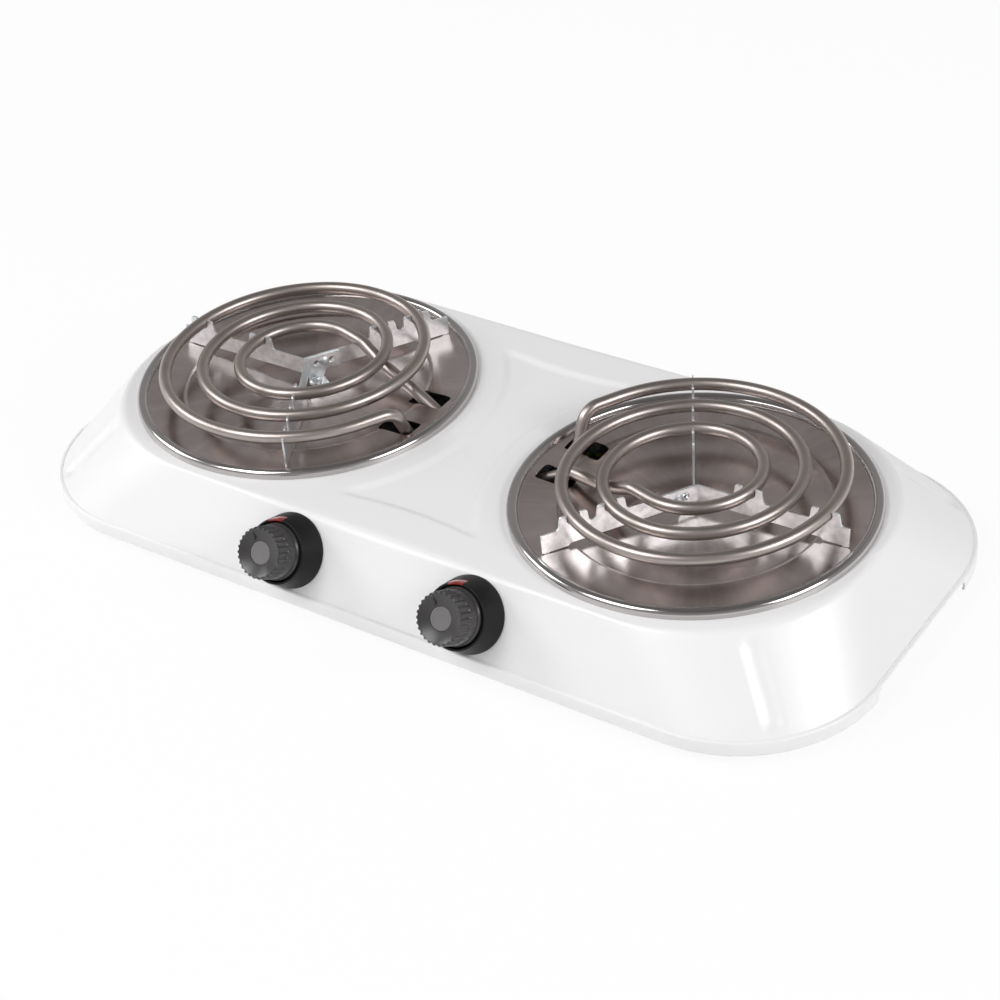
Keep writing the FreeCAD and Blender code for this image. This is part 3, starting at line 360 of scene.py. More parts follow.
class Finish:
    # one material: a Principled shader with what feeds it
    def __init__(self, name, **constants):
        self.material = bpy.data.materials.new(name)
        self.material.use_nodes = True
        self.tree = self.material.node_tree
        self.shader = self.tree.nodes["Principled BSDF"]
        for key, value in constants.items():
            self.shader.inputs[key.replace("_", " ")].default_value = value
        self.coords = addNode(self.tree, "ShaderNodeTexCoord").outputs["Object"]

    def link(self, start, end):
        self.tree.links.new(start, end)

    def centred(self, x, y, z):
        # object coordinates about a point in mm
        node = addNode(self.tree, "ShaderNodeMapping", vector_type="TEXTURE")
        node.inputs["Location"].default_value = (x * mm, y * mm, z * mm)
        self.link(self.coords, node.inputs["Vector"])
        return node.outputs["Vector"]

    def group(self, tree, vector=None, **values):
        node = addNode(self.tree, "ShaderNodeGroup", node_tree=tree)
        for key, value in values.items():
            node.inputs[key].default_value = value
        self.link(vector or self.coords, node.inputs["Vector"])
        return node.outputs

    def ranged(self, source, low, high, fromLow=0.3, fromHigh=0.7):
        node = addNode(self.tree, "ShaderNodeMapRange", From_Min=fromLow, From_Max=fromHigh,
                       To_Min=low, To_Max=high)
        self.link(source, node.inputs["Value"])
        return node.outputs["Result"]

    def colours(self, source, stops):
        ramp = addNode(self.tree, "ShaderNodeValToRGB")
        fillRamp(ramp, stops)
        self.link(source, ramp.inputs["Fac"])
        return ramp.outputs["Color"]

    def mixed(self, factor, first, colour):
        # sockets 6 and 7 are the two colours, output 2 their mix
        node = addNode(self.tree, "ShaderNodeMix", data_type="RGBA")
        self.link(factor, node.inputs["Factor"])
        self.link(first, node.inputs[6])
        node.inputs[7].default_value = (*colour, 1.0)
        return node.outputs[2]

    def summed(self, first, second, share):
        # first plus a share of second
        node = addNode(self.tree, "ShaderNodeMath", operation="MULTIPLY_ADD")
        self.link(second, node.inputs[0])
        node.inputs[1].default_value = share
        self.link(first, node.inputs[2])
        return node.outputs[0]

    def bumped(self, height, strength, distance):
        node = addNode(self.tree, "ShaderNodeBump", Strength=strength, Distance=distance)
        self.link(height, node.inputs["Height"])
        self.link(node.outputs["Normal"], self.shader.inputs["Normal"])

    def feed(self, **sockets):
        for key, source in sockets.items():
            self.link(source, self.shader.inputs[key.replace("_", " ")])


def plainMetal(name, dark, light, rough, coarse=60.0, fine=1500.0, bump=0.02, worn=0.08):
    finish = Finish(name, Metallic=1.0)
    noise = finish.group(mixedNoise, Coarse=coarse, Fine=fine)
    scuffs = finish.group(thinScuffs, Size=70.0, Share=0.6)
    tint = finish.colours(noise["Cloud"], [(0.3, dark), (0.7, light)])
    dirt = finish.ranged(scuffs["Scuffs"], 0.0, 4 * worn, 0.0, 1.0)
    finish.feed(
        Base_Color=finish.mixed(dirt, tint, [0.7 * c for c in dark]),
        Roughness=finish.summed(finish.ranged(noise["Grain"], *rough), scuffs["Scuffs"], worn),
    )
    finish.bumped(noise["Grain"], bump, 0.0002)
    return finish.material


def moulded(name, dark, light, rough, grain=2600.0, bump=0.12, coarse=35.0, **constants):
    finish = Finish(name, **constants)
    noise = finish.group(mixedNoise, Coarse=coarse, Fine=grain)
    finish.feed(
        Base_Color=finish.colours(noise["Cloud"], [(0.3, dark), (0.7, light)]),
        Roughness=finish.ranged(noise["Grain"], *rough),
    )
    finish.bumped(noise["Grain"], bump, 0.0001)
    return finish.material


def whiteEnamel():
    finish = Finish("whiteEnamel", Coat_Weight=0.35, Coat_Roughness=0.30, Coat_IOR=1.5)
    noise = finish.group(mixedNoise, Coarse=9.0, Fine=420.0)
    stops = [(0.0, (0.845, 0.840, 0.848)), (1.0, (0.862, 0.858, 0.866))]
    finish.feed(
        Base_Color=finish.colours(noise["Cloud"], stops),
        Roughness=finish.ranged(noise["Grain"], 0.34, 0.40),
    )
    finish.bumped(noise["Grain"], 0.02, 0.0003)
    return finish.material


def panSteel(side, sign):
    # dark spun floor with painted highlights fanning round the middle, brighter rolled rim
    finish = Finish("panSteel" + side.capitalize(), Metallic=1.0)
    about = finish.centred(sign * layout["burnerX"], 0.0, layout["deckZ"])
    rings = finish.group(turnedLines, about, Fineness=1500.0)
    noise = finish.group(mixedNoise, Coarse=26.0, Fine=700.0)
    scuffs = finish.group(thinScuffs, Size=40.0, Share=0.6)
    tint = finish.colours(noise["Cloud"], [(0.28, (0.42, 0.366, 0.355)), (0.72, (0.60, 0.530, 0.518))])
    # painted highlight: lighter wedges by angle round the middle stand in for the spun steel's fan of sheen
    fanSheenShare = finish.ranged(rings["Streaks"], 0.0, 0.45, 0.45, 0.75)
    fanSheenTint = finish.mixed(fanSheenShare, tint, (0.72, 0.65, 0.64))
    dirt = finish.ranged(scuffs["Scuffs"], 0.0, 0.5, 0.0, 1.0)
    floor = finish.mixed(dirt, fanSheenTint, (0.28, 0.235, 0.225))
    rim = finish.ranged(rings["Reach"], 0.0, 1.0, 0.0858, 0.0866)
    dull = finish.summed(finish.ranged(rings["Lines"], 0.14, 0.21), noise["Cloud"], 0.10)
    finish.feed(
        Base_Color=finish.mixed(rim, floor, (0.52, 0.50, 0.495)),
        Roughness=finish.summed(dull, rim, -0.09),
    )
    finish.bumped(finish.summed(rings["Lines"], noise["Cloud"], 2.0), 0.035, 0.0003)
    return finish.material


def coilSteel():
    # drawn tube with dark streaks along it
    finish = Finish("coilSteel", Metallic=1.0)
    skin = addNode(finish.tree, "ShaderNodeAttribute", attribute_name="skin")
    along = addNode(finish.tree, "ShaderNodeVectorMath", operation="MULTIPLY")
    along.inputs[1].default_value = (0.012, 3.0, 3.0)
    finish.link(skin.outputs["Vector"], along.inputs[0])
    streaks = addNode(finish.tree, "ShaderNodeTexNoise", Scale=6.0, Detail=5.0, Roughness=0.65)
    finish.link(along.outputs[0], streaks.inputs["Vector"])
    noise = finish.group(mixedNoise, Coarse=30.0, Fine=1800.0)
    tint = finish.colours(noise["Cloud"], [(0.25, (0.40, 0.350, 0.328)), (0.75, (0.51, 0.457, 0.432))])
    dirt = finish.ranged(streaks.outputs["Fac"], 0.0, 0.35, 0.4, 0.8)
    finish.feed(
        Base_Color=finish.mixed(dirt, tint, (0.28, 0.24, 0.222)),
        Roughness=finish.summed(finish.ranged(streaks.outputs["Fac"], 0.29, 0.38), noise["Grain"], 0.06),
    )
    finish.bumped(finish.summed(streaks.outputs["Fac"], noise["Grain"], 0.4), 0.05, 0.0002)
    return finish.material


def earthWireSkin():
    finish = Finish("wireGreen")
    wave = addNode(finish.tree, "ShaderNodeTexWave", Scale=60.0, Distortion=1.0)
    finish.link(finish.coords, wave.inputs["Vector"])
    noise = finish.group(mixedNoise, Coarse=80.0, Fine=2000.0)
    stripes = [(0.60, (0.05, 0.30, 0.04)), (0.66, (0.62, 0.52, 0.03))]
    finish.feed(
        Base_Color=finish.colours(wave.outputs["Fac"], stripes),
        Roughness=finish.ranged(noise["Grain"], 0.40, 0.55),
    )
    return finish.material


enamel = whiteEnamel()
panSkins = {side: panSteel(side, sign) for side, sign in sides}
coilSkin = coilSteel()
zinc = plainMetal("zincPlate", (0.68, 0.705, 0.722), (0.93, 0.955, 0.972), (0.34, 0.46),
                  230.0, 1600.0, 0.004, 0.03)
nickel = plainMetal("nickelPlate", (0.62, 0.58, 0.52), (0.74, 0.70, 0.64), (0.16, 0.26))
baseSteel = plainMetal("baseSteel", (0.50, 0.51, 0.53), (0.66, 0.67, 0.68), (0.34, 0.48),
                       130.0, 900.0, 0.06)
brass = plainMetal("contactBrass", (0.62, 0.44, 0.18), (0.76, 0.58, 0.27), (0.24, 0.36))
bezelBlack = moulded("bezelBlack", (0.005, 0.005, 0.006), (0.009, 0.009, 0.010), (0.40, 0.52),
                     2800.0, Specular_IOR_Level=0.22)
glandBlack = moulded("glandBlack", (0.014, 0.014, 0.015), (0.022, 0.022, 0.023), (0.50, 0.64))
knobSkin = moulded("knobGrey", (0.034, 0.032, 0.034), (0.046, 0.043, 0.046), (0.24, 0.33),
                   3200.0, 0.08, 60.0, Specular_IOR_Level=0.5)
capGrey = moulded("capGrey", (0.145, 0.136, 0.140), (0.180, 0.170, 0.174), (0.34, 0.44), 3000.0, 0.05)
lensSkin = moulded("lensRed", (0.30, 0.020, 0.012), (0.40, 0.036, 0.020), (0.08, 0.16), 900.0, 0.03, 150.0,
                   Transmission_Weight=0.35, IOR=1.49, Coat_Weight=0.3, Coat_Roughness=0.04)
rubber = moulded("footRubber", (0.016, 0.016, 0.016), (0.028, 0.028, 0.028), (0.72, 0.88), 1400.0, 0.3)
ceramic = moulded("ceramicBead", (0.76, 0.74, 0.69), (0.83, 0.81, 0.77), (0.28, 0.40), 900.0, 0.05)
caseBrown = moulded("caseBrown", (0.055, 0.032, 0.022), (0.08, 0.048, 0.034), (0.42, 0.56))
blockWhite = moulded("blockWhite", (0.70, 0.69, 0.66), (0.78, 0.77, 0.74), (0.40, 0.52))
wireBrown = moulded("wireBrown", (0.16, 0.07, 0.035), (0.22, 0.10, 0.05), (0.40, 0.55))
wireBlue = moulded("wireBlue", (0.03, 0.09, 0.32), (0.05, 0.13, 0.40), (0.40, 0.55))
wireGreen = earthWireSkin()
lampGlass = moulded("lampGlass", (0.92, 0.78, 0.68), (0.97, 0.84, 0.75), (0.03, 0.07), 900.0, 0.02,
                    Transmission_Weight=0.9, IOR=1.47)
print("finishes made:", len(bpy.data.materials))


# Housing: one pressed skin with a soft panel, corner grooves and a stepped hem

housing = {
    "edgeRadius": 7.0,
    "edgeSteps": 8,
    "skirtRows": 26,
    "sheet": 1.0,
    "cornerCount": 96,
    "longCount": 80,
    "endCount": 24,
    "deckSpacing": 1.7,
    "deckRowShare": 0.866,      # rows of the deck's points, set as triangles
    "openingRadius": 87.0,
    "openingCount": 200,
    "openingClear": 0.7,        # the deck's points keep off an opening
    "openingSlack": 0.2,
    "panelReach": 107.0,        # hollow sides of the panel, about the burner centres
    "panelWidth": 76.0,
    "panelBow": 4.5,
    "panelDepth": 1.5,
    "panelSoft": 3.2,
    "panelOutside": 0.35,       # share of the soft edge outside the line
    "panelCorner": 7.0,
    "grooveAngle": 47.0,
    "grooveDrops": (7.0, 29.5),
    "grooveHalf": 6.8,
    "grooveFlat": 0.6,
    "grooveDepth": 1.7,
    "grooveReach": 45.0,        # points further off stay as they are
    "shoulderRadius": 1.3,
    "stepRadius": 2.2,
    "stepLead": 4.0,
    "lip": (0.5, 0.9, 0.4),     # inset, height, rounding
    "notch": (47.0, 7.2, 6.0),  # half width, height, corner
    "notchCut": (14.0, 3.0),    # thickness, reach below the hem
    "boreCut": 4.0,
    "gland": (30.0, wallMiddle + 6.9, 1, 7.2),      # x, drop, rear wall, radius
}


def outlinePoints(halfLength, halfWidth, corner):
    a = halfLength - corner
    b = halfWidth - corner
    points = []
    runs = (
        ((-a, -halfWidth), (a, -halfWidth), (a, -b), -90, "longCount"),
        ((halfLength, -b), (halfLength, b), (a, b), 0, "endCount"),
        ((a, halfWidth), (-a, halfWidth), (-a, b), 90, "longCount"),
        ((-halfLength, b), (-halfLength, -b), (-a, -b), 180, "endCount"),
    )
    for start, end, centre, turn, key in runs:
        for i in range(housing[key]):
            points.append(Vector(start).lerp(Vector(end), i / housing[key]))
        for i in range(housing["cornerCount"]):
            out = polar(turn + 90 * i / housing["cornerCount"], corner)
            points.append(Vector(centre) + out.xy)
    return points


def ringAt(points, z):
    return [Vector((p.x, p.y, z)) for p in points]


def edgeRings():
    # round over from the flat deck to the slope
    top = ringAt(outlinePoints(*layout["deckHalf"]), layout["deckZ"])
    foot = ringAt(outlinePoints(*layout["skirtHalf"]), layout["hemTop"])
    rings = []
    steps = housing["edgeSteps"]
    for s in range(steps + 1):
        ring = []
        for i, point in enumerate(top):
            down = (foot[i] - point).normalized()
            inward = Vector((-down.x, -down.y, 0)).normalized()
            half = down.angle(inward) / 2
            reach = housing["edgeRadius"] / math.tan(half)
            centre = point + (down + inward).normalized() * (housing["edgeRadius"] / math.sin(half))
            start = point + inward * reach - centre
            end = point + down * reach - centre
            ring.append(centre + start.lerp(end, s / steps).normalized() * housing["edgeRadius"])
        rings.append(ring)
    last = rings[-1]
    for s in range(1, housing["skirtRows"] + 1):
        rings.append([p.lerp(q, s / housing["skirtRows"]) for p, q in zip(last, foot)])
    return rings


def hemRings():
    skirt = layout["skirtHalf"]
    hem = layout["hemHalf"]
    step = hem[0] - skirt[0]
    lead = housing["stepLead"]
    inset, height, soft = housing["lip"]
    profile = rounded([
        (-lead, layout["hemTop"] + lead * math.tan(slope)),
        (0.0, layout["hemTop"], housing["stepRadius"]),
        (step, layout["hemTop"], housing["shoulderRadius"]),
        (step, layout["hemLow"] + height, soft),
        (step - inset, layout["hemLow"]),
    ], closed=False, steps=4)
    return [ringAt(outlinePoints(*(size + out for size in skirt)), z) for out, z in profile if out > 0.0]


def smoothRise(value, low, high):
    t = min(1.0, max(0.0, (value - low) / (high - low)))
    return t * t * (3 - 2 * t)


def softLeast(values, blend):
    least = values[0]
    for value in values[1:]:
        h = max(blend - abs(least - value), 0.0) / blend
        least = min(least, value) - h * h * blend / 4
    return least


def panelSink(x, y):
    # depth of the waisted panel between the burners
    reach = housing["panelReach"]
    width = housing["panelWidth"]
    bow = housing["panelBow"]
    tip = layout["burnerX"] - math.sqrt(reach**2 - width**2)
    radius = (tip**2 + bow**2) / (2 * bow)
    away = width - bow + radius
    inside = softLeast([
        math.hypot(x - layout["burnerX"], y) - reach,
        math.hypot(x + layout["burnerX"], y) - reach,
        math.hypot(x, y - away) - radius,
        math.hypot(x, y + away) - radius,
    ], housing["panelCorner"])
    outside = housing["panelOutside"] * housing["panelSoft"]
    return housing["panelDepth"] * smoothRise(inside, -outside, housing["panelSoft"] - outside)


def nearerBurner(x, y):
    # distance to the nearer burner's centre
    return min(math.hypot(x - sign * layout["burnerX"], y) for _, sign in sides)


def deckSheet(loop):
    # flat deck with two round openings, points close enough for the soft panel
    spacing = housing["deckSpacing"]
    rowSpacing = spacing * housing["deckRowShare"]
    opening = housing["openingRadius"]
    clear = housing["openingClear"]
    count = len(loop)
    points = [p.xy for p in loop]
    edges = [(i, (i + 1) % count) for i in range(count)]
    holes = housing["openingCount"]
    for _, sign in sides:
        base = len(points)
        centre = Vector((sign * layout["burnerX"], 0))
        points += [polar(360 * i / holes, opening).xy + centre for i in range(holes)]
        edges += [(base + i, base + (i + 1) % holes) for i in range(holes)]
    halfLength, halfWidth, corner = layout["deckHalf"]
    inset = housing["edgeRadius"]
    for row in range(int(2 * halfWidth / rowSpacing)):
        y = -halfWidth + (row + 0.5) * rowSpacing
        for column in range(int(2 * halfLength / spacing)):
            x = -halfLength + (column + 0.5 * (row % 2)) * spacing
            if nearerBurner(x, y) < opening + clear:
                continue
            beyondX = max(0.0, abs(x) - halfLength + corner)
            beyondY = max(0.0, abs(y) - halfWidth + corner)
            if math.hypot(beyondX, beyondY) > corner - inset or abs(y) > halfWidth - inset:
                continue
            points.append(Vector((x, y)))
    verts, _, faces, _, _, _ = delaunay_2d_cdt(points, edges, [], 1, 1e-5)
    kept = []
    for face in faces:
        middle = sum((verts[i] for i in face), Vector((0, 0))) / len(face)
        if nearerBurner(*middle) > opening - housing["openingSlack"]:
            kept.append(face)
    deck = layout["deckZ"]
    mesh = bpy.data.meshes.new("deckSheet")
    mesh.from_pydata([(v.x, v.y, deck - panelSink(v.x, v.y)) for v in verts], [], kept)
    obj = bpy.data.objects.new("deckSheet", mesh)
    bpy.context.collection.objects.link(obj)
    return obj


def pressGrooves(obj):
    # the four corner grooves, sunk along the slope
    lines = []
    turn = math.radians(housing["grooveAngle"])
    for sx in (-1, 1):
        for sy in (-1, 1):
            ends = []
            for drop in housing["grooveDrops"]:
                share = drop / wallRise
                half = [a + share * (b - a) for a, b in zip(layout["deckHalf"], layout["skirtHalf"])]
                x = half[0] - half[2] + half[2] * math.cos(turn)
                y = half[1] - half[2] + half[2] * math.sin(turn)
                ends.append(Vector((sx * x, sy * y, layout["deckZ"] - drop)))
            down = ends[1] - ends[0]
            around = Vector((-sx * math.sin(turn), sy * math.cos(turn), 0))
            inward = down.cross(around).normalized()
            lines.append((ends[0], down, inward if inward.z < 0 else -inward))
    for v in obj.data.vertices:
        for start, run, inward in lines:
            offset = v.co - start
            if offset.length > housing["grooveReach"]:
                continue
            share = min(1.0, max(0.0, offset.dot(run) / run.length_squared))
            gap = (offset - run * share).length
            sink = 1.0 - smoothRise(gap, housing["grooveFlat"], housing["grooveHalf"])
            v.co += inward * (housing["grooveDepth"] * sink)


def notchCutter(side):
    half, height, corner = housing["notch"]
    thick, reach = housing["notchCut"]
    top = layout["hemLow"] + height
    below = layout["hemLow"] - reach
    outline = rounded([(-half, below), (-half, top, corner), (half, top, corner), (half, below)], steps=8)
    cutter = flatPlate("notchCutter", outline, thick)
    end = Matrix.Translation((side * layout["hemHalf"][0], 0, 0))
    return placed(cutter, end @ Matrix.Rotation(math.pi / 2, 4, "Z"))


def wallCutter(x, drop, side, radius):
    spare = housing["boreCut"]
    return placed(peg("wallCutter", radius, -spare, spare), wallPlace(x, drop, side))


def makeHousing():
    upper = edgeRings()
    shell = ringTower("housingSkin", upper + hemRings())
    pressGrooves(shell)
    deck = deckSheet(upper[0])
    shell = joinPieces([shell, deck])
    cleanMesh(shell, 2e-3)
    addModifier(shell, "SOLIDIFY", thickness=housing["sheet"], offset=-1.0, use_even_offset=True)
    cutters = [notchCutter(sign) for _, sign in sides]
    for _, sign in sides:
        cutters.append(wallCutter(controlX(sign), control["drop"], -1, control["bore"]))
    cutters.append(wallCutter(*housing["gland"]))
    cutAway(shell, cutters)
    settle(shell, Matrix.Identity(4))
    dress(shell, "housingShell", enamel, "housing", ["top_housing"], 40)


# Controls: bezel, lens, knob and cap about the spindle, standing on the front wall

control = {
    "x": 54.0,
    "offset": 4.0,          # the pair sits a little to the right
    "drop": wallMiddle + 0.7,
    "bezel": (19.2, 16.4, 15.2, 14.0),  # foot, collar and well radius, height
    "floor": 3.0,
    "bore": 5.2,
    "count": 224,
    "flutes": 28,
    "fluteDepth": 0.95,
    "fluteLength": 7.0,
    "skirtTop": 14.5,
    "faceZ": 28.1,
    "faceRadius": 13.0,
    "skirtRadius": 14.4,
    "dish": 1.8,
    "cap": (5.9, 1.4),      # radius, thickness
    "knobBore": (3.02, 4.0),        # radius, wall above it
    "boss": (5.5, 8.0),             # radius, lower end
    "hollow": (12.6, 12.0, 5.5),    # radius, roof, lower end
    "pointer": (7.2, 12.0, 0.95, 2.4),  # inner end, outer end, half width, height
    "pointerAngle": 128.0,
    "window": (89.0, 31.0, 9.0),    # start, sweep, sill
    "windowCut": (12, 20.0),        # steps, height
    "lens": (16, 0.5, 0.1),         # steps, degrees and gap clear of the window
    "footRise": 1.0,                # upright edge of the bezel's foot
    "lift": 0.05,                   # bezel clear of the wall
}


def controlX(sign):
    return control["offset"] + sign * control["x"]


def controlPlace(sign):
    return wallPlace(controlX(sign), control["drop"], -1)


def windowAngles(steps, spare=0.0):
    start, sweep, _ = control["window"]
    return [start + spare + (sweep - 2 * spare) * i / steps for i in range(steps + 1)]


def makeBezel(side, sign):
    foot, collar, well, top = control["bezel"]
    bore = control["bore"]
    floor = control["floor"]
    lift = control["lift"]
    bezel = lathe("bezel", rounded([
        (bore, lift), (foot, lift, 0.4), (foot, control["footRise"], 0.8),
        (collar, top, 0.6), (well, top, 0.35), (well, floor, 0.8), (bore, floor),
    ]), 192)
    sill = control["window"][2]
    steps, height = control["windowCut"]
    angles = windowAngles(steps)
    inner = [polar(angle, well - 0.4).xy for angle in angles]
    outer = [polar(angle, foot + 5.0).xy for angle in reversed(angles)]
    cutter = flatPlate("windowCutter", [tuple(p) for p in inner + outer], height)
    upright = Matrix.Translation((0, 0, sill + height / 2)) @ Matrix.Rotation(-math.pi / 2, 4, "X")
    cleanMesh(placed(cutter, upright))
    cutAway(bezel, [cutter])
    settle(bezel, controlPlace(sign))
    dress(bezel, side + "Bezel", bezelBlack, "housing", [side + "_knob_bezel"], 32)


def makeLens(side, sign):
    foot, collar, well, top = control["bezel"]
    sill = control["window"][2]
    rise = control["footRise"]
    steps, spare, gap = control["lens"]
    sillRadius = foot + (collar - foot) * (sill - rise) / (top - rise)
    section = rounded([
        (well, sill + gap), (sillRadius - gap, sill + gap, 0.3),
        (collar - gap / 2, top - gap, 0.5), (well, top - gap, 0.3),
    ], steps=3)
    middle = (well + 0.8, (sill + top) / 2)
    angles = windowAngles(steps, spare)
    rings = [[polar(angle, r, z) for r, z in section] for angle in angles]
    ends = [[polar(angle, *middle)] * len(section) for angle in (angles[0], angles[-1])]
    lens = ringTower("lens", ends[:1] + rings + ends[1:])
    settle(lens, controlPlace(sign))
    dress(lens, side + "Lens", lensSkin, "housing", [side + "_lamp_lens"], 35)


def knobRings():
    count = control["count"]
    face = control["faceZ"]
    front = control["faceRadius"]
    skirt = control["skirtRadius"]
    top = control["skirtTop"]
    low = face - control["dish"]
    pocket, sheet = control["cap"]
    end = face - control["fluteLength"]
    bore, wall = control["knobBore"]
    roof = low - sheet - wall
    boss, bossLow = control["boss"]
    hollow, hollowTop, skirtLow = control["hollow"]
    levels = [  # radius, height, share of the flutes
        (0.0, roof, 0), (bore, roof, 0), (bore, bossLow, 0), (boss, bossLow, 0), (boss, hollowTop, 0),
        (hollow, hollowTop, 0), (hollow, skirtLow, 0), (skirt - 0.4, skirtLow, 0),
        (skirt, skirtLow + 0.4, 0), (skirt, top - 0.5, 0), (skirt - 0.15, top, 0),
        (front + 0.75, top + 0.6, 0), (front + 0.65, top + 1.0, 0),
        (front + 0.42, end - 0.5, 0), (front + 0.40, end - 0.1, 0.35), (front + 0.38, end + 0.3, 0.8),
        (front + 0.36, end + 0.7, 1.0), (front + 0.12, face - 1.4, 1.0), (front + 0.02, face - 0.7, 1.0),
        (front - 0.25, face - 0.2, 0.9), (front - 0.7, face, 0.6), (front - 1.1, face - 0.06, 0.15),
        (front - 1.5, face - 0.22, 0), (front - 3.0, face - 0.75, 0), (front - 5.0, face - 1.3, 0),
        (pocket + 0.6, low + 0.1, 0), (pocket + 0.1, low, 0), (pocket + 0.1, low - sheet, 0),
        (0.0, low - sheet, 0),
    ]
    rings = []
    for radius, z, share in levels:
        ring = []
        for i in range(count):
            angle = 360 * i / count
            wave = 0.5 - 0.5 * math.cos(math.radians(angle * control["flutes"]))
            ring.append(polar(angle, radius - control["fluteDepth"] * share * wave**0.8, z))
        rings.append(ring)
    return rings


def makeKnob(side, sign):
    knob = ringTower("knob", knobRings())
    face = control["faceZ"]
    inner, outer, half, height = control["pointer"]
    pointer = block("pointer", (inner, -half, face - height), (outer, half, face), 0.4)
    placed(pointer, Matrix.Rotation(math.radians(control["pointerAngle"]), 4, "Z"))
    knob = joinPieces([knob, pointer])
    settle(knob, controlPlace(sign))
    dress(knob, side + "Knob", knobSkin, side + "_knob", [side + "_knob"], 38)


def makeCap(side, sign):
    radius, sheet = control["cap"]
    top = control["faceZ"] - control["dish"]
    low = top - sheet + 0.02
    profile = rounded([(0.0, low), (radius, low, 0.2), (radius, top, 0.35), (radius - 1.3, top, 0.1),
                       (radius - 1.5, top - 0.15, 0.1), (0.0, top - 0.2)], closed=False, steps=3)
    cap = lathe("cap", profile, 96)
    settle(cap, controlPlace(sign))
    dress(cap, side + "Cap", capGrey, side + "_knob", [side + "_knob_cap"], 30)


makeHousing()
print("housing done")
for side, sign in sides:
    makeBezel(side, sign)
    makeLens(side, sign)
    makeKnob(side, sign)
    makeCap(side, sign)
print("controls done")


# Drip pan, spun, with slots for the coil's legs and slits for the support's tabs

pan = {
    "count": 240,
    "rimCentre": 89.4,
    "rimBase": 1.6,
    "rimRadius": 2.9,
    "sheet": 0.8,
    "dish": (14.0, 2.0),            # flat middle, depth
    "ledge": (65.6, 67.4, 0.85),    # foot and head radius, height
    "slot": (60.5, 80.8, 7.8, 20.4),    # start, end, near and far side
    "slotCorners": (1.5, 2.5),
    "slotCut": 30.0,
    "slit": (4.35, 0.65, 0.85),     # from the tip, to the tip, half width
    "screwHole": 2.2,
    "cut": 9.0,
}


def rimArc(radius, steps, side):
    # half circle over the rolled rim, from the outside (1) or the inside (-1)
    centre = pan["rimCentre"]
    base = pan["rimBase"]
    turns = [math.radians(180 * i / steps) for i in range(steps + 1)]
    return [(centre + side * radius * math.cos(a), base + radius * math.sin(a)) for a in turns]


def panProfile():
    centre = pan["rimCentre"]
    base = pan["rimBase"]
    radius = pan["rimRadius"]
    sheet = pan["sheet"]
    inner = radius - sheet
    flat, depth = pan["dish"]
    foot, head, rise = pan["ledge"]
    upper = rounded([
        (0.0, -depth), (flat, -depth, 30.0), (foot, 0.0, 1.6), (head, rise, 1.4),
        (centre - radius, base - 0.1, 0.2), (centre - radius, base + 0.2),
    ], closed=False, steps=6)
    lower = [(centre + radius, 0.1), (centre + inner, 0.1)]
    below = [
        (centre - radius - 0.6, base - 0.5), (head + 0.4, 0.0), (foot + 0.3, -sheet),
        (flat, -depth - sheet), (0.0, -depth - sheet),
    ]
    return upper + rimArc(radius, 24, -1)[1:] + lower + rimArc(inner, 12, 1) + below


def makePan(side, sign):
    dish = lathe("dish", panProfile(), pan["count"])
    start, end, near, away = pan["slot"]
    nearSoft, farSoft = pan["slotCorners"]
    tabIn, tabOut, half = pan["slit"]
    cut = pan["cut"]
    cutters = []
    for turn in (-1, 1):
        outline = rounded([
            (start, turn * near, nearSoft), (end, turn * near, nearSoft),
            (end, turn * away, farSoft), (start, turn * away, farSoft),
        ], steps=4)
        cutter = flatPlate("slotCutter", outline, pan["slotCut"])
        cleanMesh(placed(cutter, Matrix.Rotation(-math.pi / 2, 4, "X")))
        cutters.append(cutter)
    for name in armAngles:
        tip = armTip(name)
        slit = block("slit", (-tabIn, -half, -cut), (-tabOut, half, cut))
        cutters.append(placed(slit, turnedAlong(tip - armRoot(name), tip)))
    hole = screwPoint()
    cutters.append(peg("screwHole", pan["screwHole"], -cut, cut, hole.x, hole.y))
    cutAway(dish, cutters)
    settle(dish, burnerPlace(sign))
    dress(dish, side + "Pan", panSkins[side], "housing", [side + "_drip_pan"], 28)


# Heating coil: half turns about two centres, then two legs that dip through the slots

coil = {
    "tube": 3.3,
    "sides": 28,
    "height": 17.0,
    "outer": 79.0,
    "step": 10.0,
    "halfTurns": 5,
    "startAngle": -60.0,
    "outerLeg": 31.0,
    "innerLeg": 45.0,
    "legHeight": -8.0,
    "legSpread": 11.6,
    "legBend": 11.0,
    "bendShare": 0.42,
    "lean": 12.0,
    "crest": 12.9,
    "cross": 3.0,
    "drop": 7.8,
    "entry": 5.0,
    "shift": 0.8,
    "slotClear": 0.5,
    "legEnd": 102.0,
    "arcStep": 2.5,     # degrees between points
    "bendStep": 7.0,
}


def coilArcs():
    away = polar(coil["startAngle"], coil["step"] / 2)
    radius = coil["outer"] - coil["step"] / 2
    start = coil["startAngle"]
    arcs = [(away, radius, start + coil["outerLeg"], start)]
    for i in range(coil["halfTurns"]):
        centre = away if i % 2 == 0 else -away
        arcs.append((centre, radius - i * coil["step"], start - 180 * i, start - 180 * (i + 1)))
    last = start - 180 * coil["halfTurns"]
    innermost = coil["outer"] - coil["halfTurns"] * coil["step"]
    arcs.append((Vector((0, 0, 0)), innermost, last, last - coil["innerLeg"]))
    return arcs


def arcPoint(item, angle):
    return item[0] + polar(angle, item[1], coil["height"])


